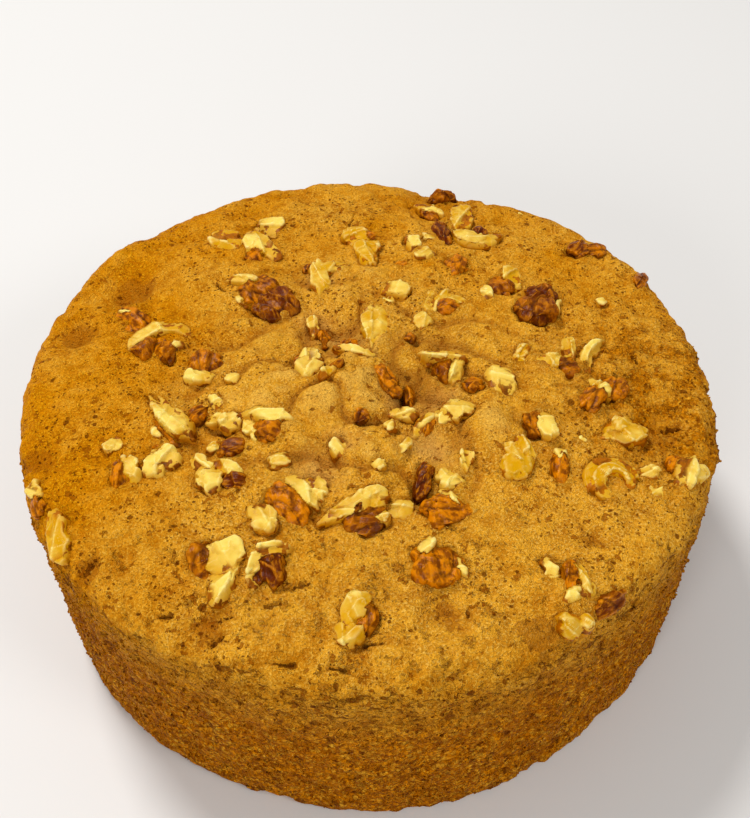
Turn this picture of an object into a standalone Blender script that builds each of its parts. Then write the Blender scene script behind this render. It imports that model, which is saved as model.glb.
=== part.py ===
"""A round cinnamon walnut cake, baked in a plain round tin and turned out whole.

The cake is one solid: a straight rough side, a rounded shoulder and a low domed top
with swells, hollows and torn pits. Broken walnut pieces lie half sunk in the top.
Each larger piece is an object of its own, in a pocket that leaves a thin gap round it.
The smaller bits are joined to the cake. Lengths are in metres and angles in degrees.
The origin is at the centre of the base, with +Z up and the front towards -Y.
"""

import math
import random

import bmesh
import bpy
from mathutils import Matrix, Vector, noise

# Driving dimensions of the cake
CAKE_RADIUS = 0.100
EDGE_HEIGHT = 0.0675
DOME_RISE = 0.005
SHOULDER_RADIUS = 0.009
FOOT_BEVEL = 0.0012

# Steps of the faceted surface
TOP_RINGS = 15
SHOULDER_STEPS = 3
SIDE_STEPS = 5

# The tin's round is a little out of true: waves round it, depth, and where each is widest
OUTLINE_WAVES = [(2, 0.0007, -50.0), (3, 0.0006, 14.0), (6, 0.0005, -22.0)]

# Fine unevenness: size of the lumps across and their height
TOP_LUMPS = (0.014, 0.0007)
SIDE_LUMPS = (0.009, 0.0006)
ROUGH_RIM_LUMPS = (0.006, 0.0012)
ROUGH_RIM_PLACE = (0.085, -0.012, 0.034)

# Swells of the top crust: x, y, radius, height. A hollow has a height under zero.
SWELLS = [
    (-0.006, -0.014, 0.012, 0.0044),
    (0.001, -0.037, 0.010, 0.0036),
    (0.032, -0.027, 0.014, 0.0034),
    (-0.020, -0.033, 0.008, 0.0030),
    (0.010, 0.008, 0.009, 0.0030),
    (-0.003, 0.030, 0.012, 0.0028),
    (-0.029, -0.010, 0.013, 0.0026),
    (-0.072, -0.008, 0.020, 0.0018),
    (-0.081, 0.055, 0.012, 0.0030),
    (0.055, -0.014, 0.012, 0.0018),
    (0.022, 0.045, 0.016, 0.0018),
    (-0.055, 0.045, 0.020, 0.0020),
    (0.085, 0.045, 0.014, 0.0012),
    (-0.013, 0.015, 0.008, -0.0036),
    (-0.006, 0.008, 0.007, -0.0030),
    (0.010, -0.016, 0.007, -0.0040),
    (0.020, -0.016, 0.008, -0.0026),
    (0.017, -0.034, 0.009, -0.0030),
    (-0.013, -0.041, 0.009, -0.0030),
    (-0.006, -0.031, 0.005, -0.0026),
    (-0.018, 0.000, 0.007, -0.0028),
    (-0.013, 0.036, 0.008, -0.0020),
    (0.010, -0.051, 0.009, -0.0022),
    (-0.046, -0.028, 0.012, -0.0026),
    (-0.055, -0.002, 0.010, -0.0024),
    (-0.071, 0.036, 0.012, -0.0032),
    (-0.086, 0.018, 0.007, -0.0028),
    (-0.087, -0.029, 0.007, -0.0016),
    (0.079, -0.027, 0.011, -0.0030),
    (0.026, 0.089, 0.016, -0.0040),
    (0.058, 0.014, 0.010, -0.0010),
    (0.018, -0.082, 0.006, -0.0014),
    (-0.038, -0.083, 0.006, -0.0018),
]

# Torn pits and slits in the crust: x, y, length, width, depth, turn
PITS = [
    (-0.0165, -0.0740, 0.0042, 0.0020, 0.0030, 20),
    (-0.0232, -0.0785, 0.0048, 0.0024, 0.0030, -5),
    (-0.0335, -0.0808, 0.0040, 0.0018, 0.0026, 5),
    (-0.0475, -0.0802, 0.0036, 0.0018, 0.0026, 10),
    (0.0005, -0.0886, 0.0062, 0.0018, 0.0028, 5),
    (-0.0190, -0.0935, 0.0075, 0.0018, 0.0030, -8),
    (-0.0070, -0.0950, 0.0050, 0.0018, 0.0030, -15),
    (-0.0360, -0.0870, 0.0046, 0.0020, 0.0026, 40),
    (-0.0440, 0.0340, 0.0056, 0.0018, 0.0030, -50),
    (-0.0030, 0.0700, 0.0070, 0.0014, 0.0028, 70),
    (-0.0685, -0.0655, 0.0046, 0.0034, 0.0028, 60),
    (0.0780, 0.0005, 0.0040, 0.0018, 0.0026, -60),
    (0.0830, -0.0245, 0.0060, 0.0030, 0.0030, 20),
]

# A limb of broken walnut: kind, x, y, length, width, height, turn, bend, rise.
# Flesh is broken and flat sided, skin is round and lobed. The bend curls the limb in
# plan and the rise is how far its middle is above the crust, as a share of its height.
LOW, MID, HIGH = -0.12, -0.02, 0.10
WALNUTS = {
    "walnut_01": [("flesh", -0.0303, 0.0660, 0.0100, 0.0078, 0.0064, 100, 0, MID)],
    "walnut_02": [
        ("flesh", -0.0315, 0.0538, 0.0175, 0.0058, 0.0068, -58, 0, MID),
        ("flesh", -0.0352, 0.0555, 0.0095, 0.0050, 0.0056, -72, 0, MID),
        ("skin", -0.0340, 0.0487, 0.0070, 0.0046, 0.0048, -60, 0, MID),
    ],
    "walnut_03": [("flesh", -0.0440, 0.0585, 0.0128, 0.0088, 0.0054, 98, 0, MID)],
    "walnut_04": [
        ("flesh", -0.0133, 0.0362, 0.0160, 0.0046, 0.0075, -84, 0, HIGH),
        ("flesh", -0.0088, 0.0407, 0.0090, 0.0048, 0.0050, 16, 0, HIGH),
        ("skin", -0.0163, 0.0418, 0.0046, 0.0042, 0.0048, 90, 0, MID),
    ],
    "walnut_05": [
        ("flesh", -0.0012, 0.0575, 0.0100, 0.0074, 0.0062, -84, 0, MID),
        ("flesh", 0.0015, 0.0475, 0.0135, 0.0050, 0.0056, -78, 0, MID),
        ("flesh", 0.0032, 0.0520, 0.0066, 0.0046, 0.0054, 60, 0, MID),
        ("skin", 0.0024, 0.0586, 0.0070, 0.0032, 0.0052, -64, 0, MID),
    ],
    "walnut_06": [("skin", 0.0292, 0.0410, 0.0098, 0.0070, 0.0058, 68, 0, LOW)],
    "walnut_07": [
        ("flesh", 0.0238, 0.0772, 0.0115, 0.0042, 0.0056, -42, -50, HIGH),
        ("skin", 0.0232, 0.0742, 0.0076, 0.0040, 0.0046, -50, 0, MID),
    ],
    "walnut_08": [("skin", 0.0298, 0.0888, 0.0100, 0.0046, 0.0108, 4, 0, MID)],
    "walnut_09": [("flesh", 0.0335, 0.0690, 0.0152, 0.0066, 0.0064, 82, 0, MID)],
    "walnut_10": [("skin", 0.0268, 0.0605, 0.0150, 0.0056, 0.0056, -78, 0, MID)],
    "walnut_11": [
        ("flesh", 0.0382, 0.0560, 0.0168, 0.0050, 0.0064, 0, 110, MID),
        ("skin", 0.0392, 0.0588, 0.0070, 0.0048, 0.0066, 80, 0, MID),
    ],
    "walnut_12": [
        ("skin", 0.0702, 0.0520, 0.0096, 0.0066, 0.0038, 52, 0, HIGH),
        ("skin", 0.0757, 0.0524, 0.0088, 0.0050, 0.0034, 12, 0, HIGH),
    ],
    "walnut_13": [
        ("skin", 0.0424, 0.0312, 0.0098, 0.0058, 0.0054, 112, 0, MID),
        ("flesh", 0.0464, 0.0345, 0.0108, 0.0048, 0.0056, 92, 0, MID),
    ],
    "walnut_14": [
        ("skin", 0.0515, 0.0210, 0.0130, 0.0105, 0.0086, 80, 0, MID),
        ("skin", 0.0545, 0.0270, 0.0112, 0.0088, 0.0078, 35, 0, MID),
        ("flesh", 0.0582, 0.0245, 0.0090, 0.0034, 0.0056, 78, 0, LOW),
    ],
    "walnut_15": [("skin", 0.0872, 0.0362, 0.0104, 0.0040, 0.0046, 62, 0, MID)],
    "walnut_16": [
        ("skin", -0.0685, 0.0215, 0.0138, 0.0082, 0.0056, -42, 0, LOW),
        ("flesh", -0.0715, 0.0262, 0.0058, 0.0034, 0.0056, -35, 0, MID),
    ],
    "walnut_17": [
        ("flesh", -0.0608, 0.0132, 0.0200, 0.0046, 0.0066, 22, -140, MID),
        ("skin", -0.0632, 0.0068, 0.0078, 0.0062, 0.0062, -50, 0, MID),
        ("skin", -0.0575, 0.0068, 0.0078, 0.0064, 0.0062, 60, 0, MID),
        ("flesh", -0.0535, 0.0086, 0.0036, 0.0028, 0.0056, 70, 0, MID),
    ],
    "walnut_18": [
        ("skin", -0.0455, 0.0005, 0.0094, 0.0082, 0.0064, 92, 0, MID),
        ("flesh", -0.0455, -0.0055, 0.0086, 0.0036, 0.0048, -8, 0, MID),
    ],
    "walnut_19": [
        ("skin", -0.0318, 0.0302, 0.0130, 0.0105, 0.0080, -48, 0, MID),
        ("skin", -0.0262, 0.0245, 0.0120, 0.0112, 0.0074, -70, 0, MID),
        ("flesh", -0.0368, 0.0348, 0.0090, 0.0032, 0.0066, -18, 0, MID),
        ("flesh", -0.0362, 0.0272, 0.0064, 0.0036, 0.0046, -30, 0, LOW),
    ],
    "walnut_20": [
        ("flesh", 0.0034, 0.0118, 0.0172, 0.0058, 0.0066, 82, 0, MID),
        ("skin", 0.0016, 0.0090, 0.0068, 0.0030, 0.0066, -72, 0, MID),
    ],
    "walnut_21": [
        ("flesh", -0.0153, -0.0052, 0.0080, 0.0072, 0.0064, 60, 0, MID),
        ("flesh", -0.0152, -0.0002, 0.0096, 0.0054, 0.0058, 95, 0, MID),
        ("skin", -0.0190, 0.0014, 0.0052, 0.0040, 0.0044, 10, 0, LOW),
    ],
    "walnut_22": [
        ("flesh", 0.0215, 0.0232, 0.0125, 0.0056, 0.0046, 52, -40, LOW),
        ("flesh", 0.0268, 0.0243, 0.0072, 0.0044, 0.0044, -12, 0, LOW),
        ("skin", 0.0256, 0.0208, 0.0068, 0.0052, 0.0052, 12, 0, MID),
    ],
    "walnut_23": [
        ("flesh", 0.0222, -0.0018, 0.0116, 0.0030, 0.0074, -7, 0, HIGH),
        ("skin", 0.0224, -0.0058, 0.0092, 0.0050, 0.0064, -80, 0, MID),
        ("flesh", 0.0258, -0.0062, 0.0096, 0.0034, 0.0060, 70, 0, MID),
    ],
    "walnut_24": [("skin", 0.0062, -0.0102, 0.0122, 0.0056, 0.0062, -65, 0, MID)],
    "walnut_25": [
        ("flesh", 0.0250, -0.0222, 0.0084, 0.0052, 0.0050, 18, 0, MID),
        ("flesh", 0.0206, -0.0242, 0.0058, 0.0030, 0.0046, -66, 0, MID),
        ("skin", 0.0222, -0.0202, 0.0054, 0.0032, 0.0050, 32, 0, MID),
    ],
    "walnut_26": [("skin", 0.0142, -0.0450, 0.0118, 0.0040, 0.0064, 73, 0, MID)],
    "walnut_27": [
        ("flesh", 0.0212, -0.0448, 0.0076, 0.0048, 0.0052, 4, 0, MID),
        ("flesh", 0.0198, -0.0436, 0.0060, 0.0028, 0.0050, 96, 0, MID),
    ],
    "walnut_28": [
        ("skin", 0.0198, -0.0546, 0.0122, 0.0078, 0.0064, -6, 0, MID),
        ("flesh", 0.0214, -0.0508, 0.0080, 0.0026, 0.0058, -36, 0, MID),
    ],
    "walnut_29": [
        ("flesh", -0.0055, -0.0535, 0.0116, 0.0042, 0.0070, 24, 0, MID),
        ("flesh", 0.0008, -0.0512, 0.0086, 0.0062, 0.0070, 10, 0, MID),
        ("skin", -0.0008, -0.0560, 0.0110, 0.0080, 0.0064, 12, 0, MID),
        ("flesh", 0.0034, -0.0556, 0.0046, 0.0034, 0.0064, 80, 0, MID),
    ],
    "walnut_30": [
        ("skin", -0.0196, -0.0508, 0.0142, 0.0078, 0.0066, -60, 0, MID),
        ("flesh", -0.0165, -0.0472, 0.0130, 0.0044, 0.0068, -42, 0, MID),
        ("flesh", -0.0128, -0.0458, 0.0082, 0.0046, 0.0068, -62, 0, MID),
    ],
    "walnut_31": [("flesh", -0.0264, -0.0550, 0.0088, 0.0060, 0.0052, -55, 0, MID)],
    "walnut_32": [
        ("flesh", -0.0260, -0.0238, 0.0126, 0.0040, 0.0070, -20, -25, HIGH),
        ("flesh", -0.0302, -0.0278, 0.0092, 0.0032, 0.0058, -58, 0, MID),
        ("skin", -0.0252, -0.0290, 0.0084, 0.0068, 0.0070, -28, 0, MID),
    ],
    "walnut_33": [
        ("skin", -0.0358, -0.0320, 0.0080, 0.0058, 0.0060, -8, 0, MID),
        ("flesh", -0.0398, -0.0308, 0.0046, 0.0028, 0.0050, 24, 0, MID),
    ],
    "walnut_34": [
        ("flesh", -0.0394, -0.0218, 0.0064, 0.0030, 0.0044, -4, 0, MID),
        ("flesh", -0.0360, -0.0230, 0.0060, 0.0048, 0.0050, -60, 0, MID),
    ],
    "walnut_35": [
        ("skin", -0.0446, -0.0186, 0.0088, 0.0044, 0.0058, 38, 0, MID),
        ("flesh", -0.0408, -0.0162, 0.0058, 0.0026, 0.0054, -55, 0, MID),
    ],
    "walnut_36": [
        ("flesh", -0.0530, -0.0200, 0.0170, 0.0050, 0.0066, -55, 0, HIGH),
        ("skin", -0.0537, -0.0240, 0.0110, 0.0032, 0.0050, -52, 0, MID),
        ("flesh", -0.0562, -0.0246, 0.0050, 0.0028, 0.0046, -62, 0, LOW),
    ],
    "walnut_37": [
        ("flesh", -0.0545, -0.0360, 0.0092, 0.0052, 0.0068, -80, 0, MID),
        ("flesh", -0.0518, -0.0354, 0.0076, 0.0056, 0.0064, 15, 0, HIGH),
    ],
    "walnut_38": [
        ("flesh", -0.0428, -0.0366, 0.0084, 0.0034, 0.0056, -42, 0, MID),
        ("flesh", -0.0404, -0.0418, 0.0084, 0.0062, 0.0064, -52, 0, MID),
        ("flesh", -0.0360, -0.0394, 0.0094, 0.0034, 0.0060, -28, 0, MID),
        ("skin", -0.0342, -0.0436, 0.0068, 0.0044, 0.0060, -4, 0, MID),
    ],
    "walnut_39": [
        ("skin", -0.0640, -0.0400, 0.0102, 0.0038, 0.0064, 96, 0, MID),
        ("flesh", -0.0610, -0.0386, 0.0098, 0.0042, 0.0060, 108, 0, MID),
    ],
    "walnut_40": [
        ("flesh", -0.0858, -0.0412, 0.0068, 0.0036, 0.0050, -52, 0, MID),
        ("skin", -0.0842, -0.0458, 0.0066, 0.0038, 0.0050, -68, 0, MID),
    ],
    "walnut_41": [("flesh", -0.0770, -0.0560, 0.0150, 0.0052, 0.0056, -73, 0, MID)],
    "walnut_42": [
        ("flesh", -0.0352, -0.0655, 0.0092, 0.0090, 0.0070, -72, 0, MID),
        ("flesh", -0.0345, -0.0722, 0.0112, 0.0060, 0.0064, 66, 0, MID),
        ("skin", -0.0402, -0.0664, 0.0098, 0.0062, 0.0060, 96, 0, MID),
    ],
    "walnut_43": [
        ("skin", -0.0238, -0.0695, 0.0096, 0.0074, 0.0068, 100, 0, MID),
        ("flesh", -0.0272, -0.0700, 0.0108, 0.0024, 0.0066, 84, 0, MID),
        ("flesh", -0.0228, -0.0652, 0.0084, 0.0024, 0.0060, 4, 0, HIGH),
    ],
    "walnut_44": [
        ("skin", 0.0160, -0.0706, 0.0120, 0.0104, 0.0074, -84, 0, MID),
        ("flesh", 0.0134, -0.0658, 0.0076, 0.0026, 0.0070, 62, 0, MID),
        ("flesh", 0.0212, -0.0704, 0.0066, 0.0026, 0.0054, -58, 0, MID),
    ],
    "walnut_45": [
        ("flesh", -0.0035, -0.0812, 0.0094, 0.0042, 0.0062, 60, 0, MID),
        ("flesh", -0.0053, -0.0870, 0.0060, 0.0046, 0.0056, -42, 0, MID),
        ("skin", -0.0010, -0.0830, 0.0080, 0.0044, 0.0060, 78, 0, MID),
    ],
    "walnut_46": [
        ("skin", 0.0474, -0.0736, 0.0090, 0.0042, 0.0060, 80, 0, MID),
        ("flesh", 0.0508, -0.0738, 0.0092, 0.0028, 0.0062, -76, 0, MID),
        ("flesh", 0.0484, -0.0780, 0.0064, 0.0028, 0.0054, 16, 0, MID),
    ],
    "walnut_47": [
        ("flesh", 0.0458, -0.0850, 0.0058, 0.0050, 0.0056, 82, 0, MID),
        ("flesh", 0.0494, -0.0838, 0.0048, 0.0032, 0.0050, -12, 0, MID),
    ],
    "walnut_48": [("skin", 0.0560, -0.0790, 0.0094, 0.0046, 0.0062, 38, 0, LOW)],
    "walnut_49": [("flesh", 0.0380, -0.0118, 0.0102, 0.0066, 0.0050, 95, 0, MID)],
    "walnut_50": [
        ("flesh", 0.0530, -0.0035, 0.0084, 0.0050, 0.0058, 8, 0, MID),
        ("skin", 0.0572, -0.0052, 0.0070, 0.0064, 0.0066, 6, 0, MID),
        ("flesh", 0.0584, 0.0012, 0.0098, 0.0036, 0.0080, 82, 0, MID),
    ],
    "walnut_51": [("flesh", 0.0650, 0.0006, 0.0152, 0.0032, 0.0060, 62, -60, MID)],
    "walnut_52": [
        ("skin", 0.0695, -0.0122, 0.0080, 0.0068, 0.0064, 60, 0, MID),
        ("skin", 0.0625, -0.0175, 0.0120, 0.0054, 0.0056, 56, 0, MID),
        ("flesh", 0.0660, -0.0152, 0.0042, 0.0030, 0.0066, 80, 0, HIGH),
        ("flesh", 0.0632, -0.0124, 0.0052, 0.0028, 0.0050, 30, 0, MID),
    ],
    "walnut_53": [
        ("flesh", 0.0690, -0.0285, 0.0136, 0.0058, 0.0064, 6, 0, MID),
        ("flesh", 0.0694, -0.0254, 0.0064, 0.0044, 0.0066, 48, 0, HIGH),
    ],
    "walnut_54": [
        ("flesh", 0.0476, -0.0278, 0.0116, 0.0046, 0.0064, -82, 40, MID),
        ("skin", 0.0445, -0.0280, 0.0084, 0.0046, 0.0058, 96, 0, MID),
    ],
    "walnut_55": [
        ("flesh", 0.0386, -0.0402, 0.0112, 0.0070, 0.0062, 74, 0, MID),
        ("flesh", 0.0408, -0.0368, 0.0072, 0.0032, 0.0060, -62, 0, HIGH),
    ],
    "walnut_56": [
        ("skin", 0.0500, -0.0420, 0.0104, 0.0050, 0.0060, 86, 0, MID),
        ("flesh", 0.0508, -0.0374, 0.0050, 0.0028, 0.0056, 104, 0, MID),
    ],
    "walnut_57": [
        ("flesh", 0.0622, -0.0440, 0.0240, 0.0054, 0.0062, -150, 260, MID),
    ],
    "walnut_58": [
        ("flesh", 0.0826, -0.0422, 0.0096, 0.0046, 0.0060, 62, 0, HIGH),
        ("flesh", 0.0852, -0.0424, 0.0092, 0.0036, 0.0056, 40, 0, MID),
        ("skin", 0.0812, -0.0384, 0.0058, 0.0044, 0.0056, 80, 0, LOW),
    ],
}

# Smaller bits of walnut, joined to the cake, in the same form as a limb
SMALL_BITS = [
    ("skin", -0.0115, 0.0112, 0.0076, 0.0036, 0.0050, 95, 0, HIGH),
    ("flesh", -0.0147, 0.0158, 0.0082, 0.0028, 0.0050, 100, 0, HIGH),
    ("skin", -0.0042, 0.0062, 0.0060, 0.0050, 0.0056, 70, 0, HIGH),
    ("flesh", -0.0022, 0.0009, 0.0122, 0.0022, 0.0050, -21, 0, HIGH),
    ("flesh", -0.0103, -0.0098, 0.0054, 0.0024, 0.0046, 48, 0, HIGH),
    ("skin", -0.0078, -0.0070, 0.0066, 0.0028, 0.0046, 42, 0, HIGH),
    ("flesh", 0.0105, 0.0283, 0.0074, 0.0066, 0.0050, 60, 0, MID),
    ("flesh", 0.0174, 0.0138, 0.0074, 0.0046, 0.0046, 70, 0, LOW),
    ("flesh", 0.0165, 0.0533, 0.0080, 0.0040, 0.0046, 95, 0, MID),
    ("flesh", 0.0196, 0.0454, 0.0060, 0.0048, 0.0046, 100, 0, MID),
    ("flesh", 0.0218, 0.0566, 0.0042, 0.0032, 0.0040, 10, 0, MID),
    ("skin", 0.0126, 0.0420, 0.0044, 0.0032, 0.0034, 55, 0, LOW),
    ("flesh", 0.0380, 0.0272, 0.0074, 0.0036, 0.0044, 95, 0, MID),
    ("skin", 0.0303, -0.0120, 0.0062, 0.0052, 0.0050, -20, 0, LOW),
    ("skin", 0.0124, -0.0142, 0.0090, 0.0028, 0.0056, 84, 0, HIGH),
    ("flesh", 0.0094, -0.0222, 0.0080, 0.0034, 0.0050, -8, 20, HIGH),
    ("flesh", 0.0150, -0.0264, 0.0090, 0.0026, 0.0050, 62, 0, HIGH),
    ("skin", 0.0170, -0.0272, 0.0068, 0.0026, 0.0054, 72, 0, HIGH),
    ("flesh", 0.0066, -0.0280, 0.0044, 0.0028, 0.0040, 90, 0, HIGH),
    ("flesh", 0.0098, -0.0346, 0.0064, 0.0024, 0.0040, 60, 70, HIGH),
    ("flesh", -0.0072, -0.0336, 0.0064, 0.0036, 0.0046, -80, 0, HIGH),
    ("flesh", -0.0225, -0.0380, 0.0054, 0.0042, 0.0040, 5, 0, LOW),
    ("flesh", 0.0258, -0.0396, 0.0062, 0.0030, 0.0050, 82, 0, HIGH),
    ("flesh", 0.0084, -0.0524, 0.0056, 0.0052, 0.0046, 100, 0, MID),
    ("skin", -0.0540, -0.0293, 0.0060, 0.0018, 0.0036, -5, 0, LOW),
    ("flesh", -0.0667, -0.0285, 0.0050, 0.0044, 0.0040, 80, 0, MID),
    ("flesh", 0.0432, -0.0711, 0.0056, 0.0034, 0.0040, -80, 0, LOW),
    ("flesh", 0.0728, -0.0419, 0.0062, 0.0036, 0.0044, 12, 0, MID),
    ("flesh", 0.0736, -0.0478, 0.0054, 0.0036, 0.0040, 15, 0, LOW),
    ("flesh", 0.0456, 0.0012, 0.0060, 0.0030, 0.0040, 62, 0, MID),
]

# Faceting and broken shape of one limb, and the well that a pocket cuts round it
LONG_LIMB = 0.0126
SHORT_LIMB = 0.0075
LIMB_SIDES = 5
SHORT_SIDES = 4
POCKET_GAP = 0.0004
POCKET_WALLS = (35, 90, 145, 215, 270, 325)
POCKET_FLARE = 20.0
POCKET_ROOF = 0.004
END_WIDTH = 0.6
BROAD, TALL = 0.57, 0.54
BOXY = 1.22
LEAN = 0.08
UNEVEN = 0.18
BEND_PER_STATION = 100
STRAIGHT = 0.01
SHARP_EDGE = 35.0
FLESH_BREAK = 0.16
SKIN_BREAK = 0.07
SLOPE_STEP = 0.003


def clear_scene():
    for thing in list(bpy.data.objects):
        bpy.data.objects.remove(thing, do_unlink=True)


def material(name, colour, roughness):
    made = bpy.data.materials.new(name)
    made.use_nodes = True
    shader = made.node_tree.nodes["Principled BSDF"]
    shader.inputs["Base Color"].default_value = (*colour, 1.0)
    shader.inputs["Roughness"].default_value = roughness
    shader.inputs["Metallic"].default_value = 0.0
    made.diffuse_color = (*colour, 1.0)
    return made


def outline_stretch(angle):
    """How far the side stands out of the true round at this angle."""
    return sum(depth * math.cos(waves * (angle - math.radians(widest)))
               for waves, depth, widest in OUTLINE_WAVES)


def lumps(point, size_and_height, layer):
    size, height = size_and_height
    return height * noise.noise(Vector(point) / size + Vector((0.0, 0.0, 7.0 * layer)))


def plain_top(x, y):
    """Height of the dome and its shoulder, without swells."""
    radius = math.hypot(x, y)
    flat_radius = CAKE_RADIUS - SHOULDER_RADIUS
    if radius <= flat_radius:
        return EDGE_HEIGHT + DOME_RISE * (1.0 - (radius / flat_radius) ** 2)
    out = min(radius - flat_radius, SHOULDER_RADIUS)
    return EDGE_HEIGHT - SHOULDER_RADIUS + math.sqrt(SHOULDER_RADIUS ** 2 - out ** 2)


def swell(x, y):
    """Height that the swells, hollows and lumps add to the crust."""
    total = 0.0
    for centre_x, centre_y, radius, height in SWELLS:
        away = math.hypot(x - centre_x, y - centre_y) / radius
        total += height * math.exp(-away * away)
    rough_x, rough_y, rough_radius = ROUGH_RIM_PLACE
    away = math.hypot(x - rough_x, y - rough_y) / rough_radius
    total += math.exp(-away ** 4) * lumps((x, y, 0.0), ROUGH_RIM_LUMPS, 2)
    return total + lumps((x, y, 0.0), TOP_LUMPS, 1)


def crust_height(x, y):
    return plain_top(x, y) + swell(x, y)


def crust_normal(x, y):
    """Upward direction of the dome and shoulder at a place."""
    slope_x = (plain_top(x + SLOPE_STEP, y) - plain_top(x - SLOPE_STEP, y)) / (2 * SLOPE_STEP)
    slope_y = (plain_top(x, y + SLOPE_STEP) - plain_top(x, y - SLOPE_STEP)) / (2 * SLOPE_STEP)
    return Vector((-slope_x, -slope_y, 1.0)).normalized()


def side_point(radius, height, angle):
    """A point of the shoulder or side, pushed out and in by the outline and its lumps."""
    x, y = radius * math.cos(angle), radius * math.sin(angle)
    push = outline_stretch(angle) + lumps((x, y, height), SIDE_LUMPS, 3)
    stretch = 1.0 + push / CAKE_RADIUS
    return Vector((x * stretch, y * stretch, height))


def cake_rings():
    """Rings of points from the middle of the top, over the shoulder and down to the base."""
    flat_radius = CAKE_RADIUS - SHOULDER_RADIUS
    rings = [[Vector((0.0, 0.0, crust_height(0.0, 0.0)))]]
    for ring in range(1, TOP_RINGS + 1):
        radius = flat_radius * ring / TOP_RINGS
        points = []
        for step in range(6 * ring):
            angle = 2 * math.pi * step / (6 * ring)
            stretch = 1.0 + outline_stretch(angle) / CAKE_RADIUS
            x, y = radius * stretch * math.cos(angle), radius * stretch * math.sin(angle)
            points.append(Vector((x, y, crust_height(x, y))))
        rings.append(points)

    around = 6 * TOP_RINGS
    angles = [2 * math.pi * step / around for step in range(around)]
    shoulder_height = EDGE_HEIGHT - SHOULDER_RADIUS
    for step in range(1, SHOULDER_STEPS + 1):
        turn = 0.5 * math.pi * step / SHOULDER_STEPS
        radius = flat_radius + SHOULDER_RADIUS * math.sin(turn)
        height = shoulder_height + SHOULDER_RADIUS * math.cos(turn)
        points = [side_point(radius, height, angle) for angle in angles]
        for point in points:
            point.z += swell(point.x, point.y) * math.cos(turn)
        rings.append(points)
    for step in range(1, SIDE_STEPS + 1):
        height = shoulder_height + (FOOT_BEVEL - shoulder_height) * step / SIDE_STEPS
        rings.append([side_point(CAKE_RADIUS, height, angle) for angle in angles])
    rings.append([side_point(CAKE_RADIUS - FOOT_BEVEL, 0.0, angle) for angle in angles])
    return rings


def skin_rings(mesh, inner, outer):
    """Faces between two rings, where the outer one may have six points more."""
    inner_count, outer_count = len(inner), len(outer)
    i = j = 0
    while i < inner_count or j < outer_count:
        here_in, here_out = inner[i % inner_count], outer[j % outer_count]
        inner_first = (i + 1) * outer_count <= (j + 1) * inner_count and inner_count > 1
        if j == outer_count or (inner_first and i < inner_count):
            mesh.faces.new((here_in, here_out, inner[(i + 1) % inner_count]))
            i += 1
        else:
            mesh.faces.new((here_in, here_out, outer[(j + 1) % outer_count]))
            j += 1
        if inner_count == 1 and j == outer_count:
            break


def finish_mesh(mesh, name, collection, surface):
    """Turns a bmesh into an object of its own."""
    bmesh.ops.triangulate(mesh, faces=mesh.faces[:])
    bmesh.ops.recalc_face_normals(mesh, faces=mesh.faces[:])
    data = bpy.data.meshes.new(name)
    mesh.to_mesh(data)
    mesh.free()
    data.materials.append(surface)
    made = bpy.data.objects.new(name, data)
    collection.objects.link(made)
    return made


def make_cake(collection, surface):
    mesh = bmesh.new()
    rings = [[mesh.verts.new(point) for point in ring] for ring in cake_rings()]
    for inner, outer in zip(rings, rings[1:]):
        skin_rings(mesh, inner, outer)
    base_centre = mesh.verts.new((0.0, 0.0, 0.0))
    last = rings[-1]
    for here, following in zip(last, last[1:] + last[:1]):
        mesh.faces.new((following, here, base_centre))
    return finish_mesh(mesh, "cake", collection, surface)


def limb_points(kind, length, width, height, bend, draw, grow, sides):
    """Stations of a limb lying along X, each a ring of points, curled in plan by the bend."""
    turn = math.radians(bend)
    sides = sides if length > SHORT_LIMB else SHORT_SIDES
    stations = 4 if length > LONG_LIMB else 3
    stations += round(abs(bend) / BEND_PER_STATION)
    first_angle = math.pi / 4 if sides == SHORT_SIDES else math.pi / 2
    size = BOXY if sides == SHORT_SIDES else 1.0
    rings = []
    for station in range(stations):
        along = station / (stations - 1) * 2.0 - 1.0
        full = size * (END_WIDTH + (1.0 - END_WIDTH) * math.sqrt(1.0 - along * along))
        lean = draw.uniform(-LEAN, LEAN) * length
        roughness = FLESH_BREAK if kind == "flesh" else SKIN_BREAK
        ring = []
        for side in range(sides):
            angle = 2 * math.pi * (side + draw.uniform(-UNEVEN, UNEVEN)) / sides + first_angle
            reach = full * draw.uniform(1.0 - roughness, 1.0)
            across = math.cos(angle) * (reach * BROAD * width + grow)
            up = math.sin(angle) * (reach * TALL * height + grow)
            forward = along * (0.5 * length + grow) + lean * math.sin(angle) * (1.0 - abs(along))
            ring.append((forward, across, up))
        rings.append(ring)
    if abs(turn) < STRAIGHT:
        return [[Vector(point) for point in ring] for ring in rings]
    curl = length / turn
    middle = curl * (1.0 - math.sin(0.5 * turn) / (0.5 * turn))
    return [[Vector(((curl - across) * math.sin(forward / curl),
                     curl - (curl - across) * math.cos(forward / curl) - middle, up))
             for forward, across, up in ring] for ring in rings]


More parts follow.
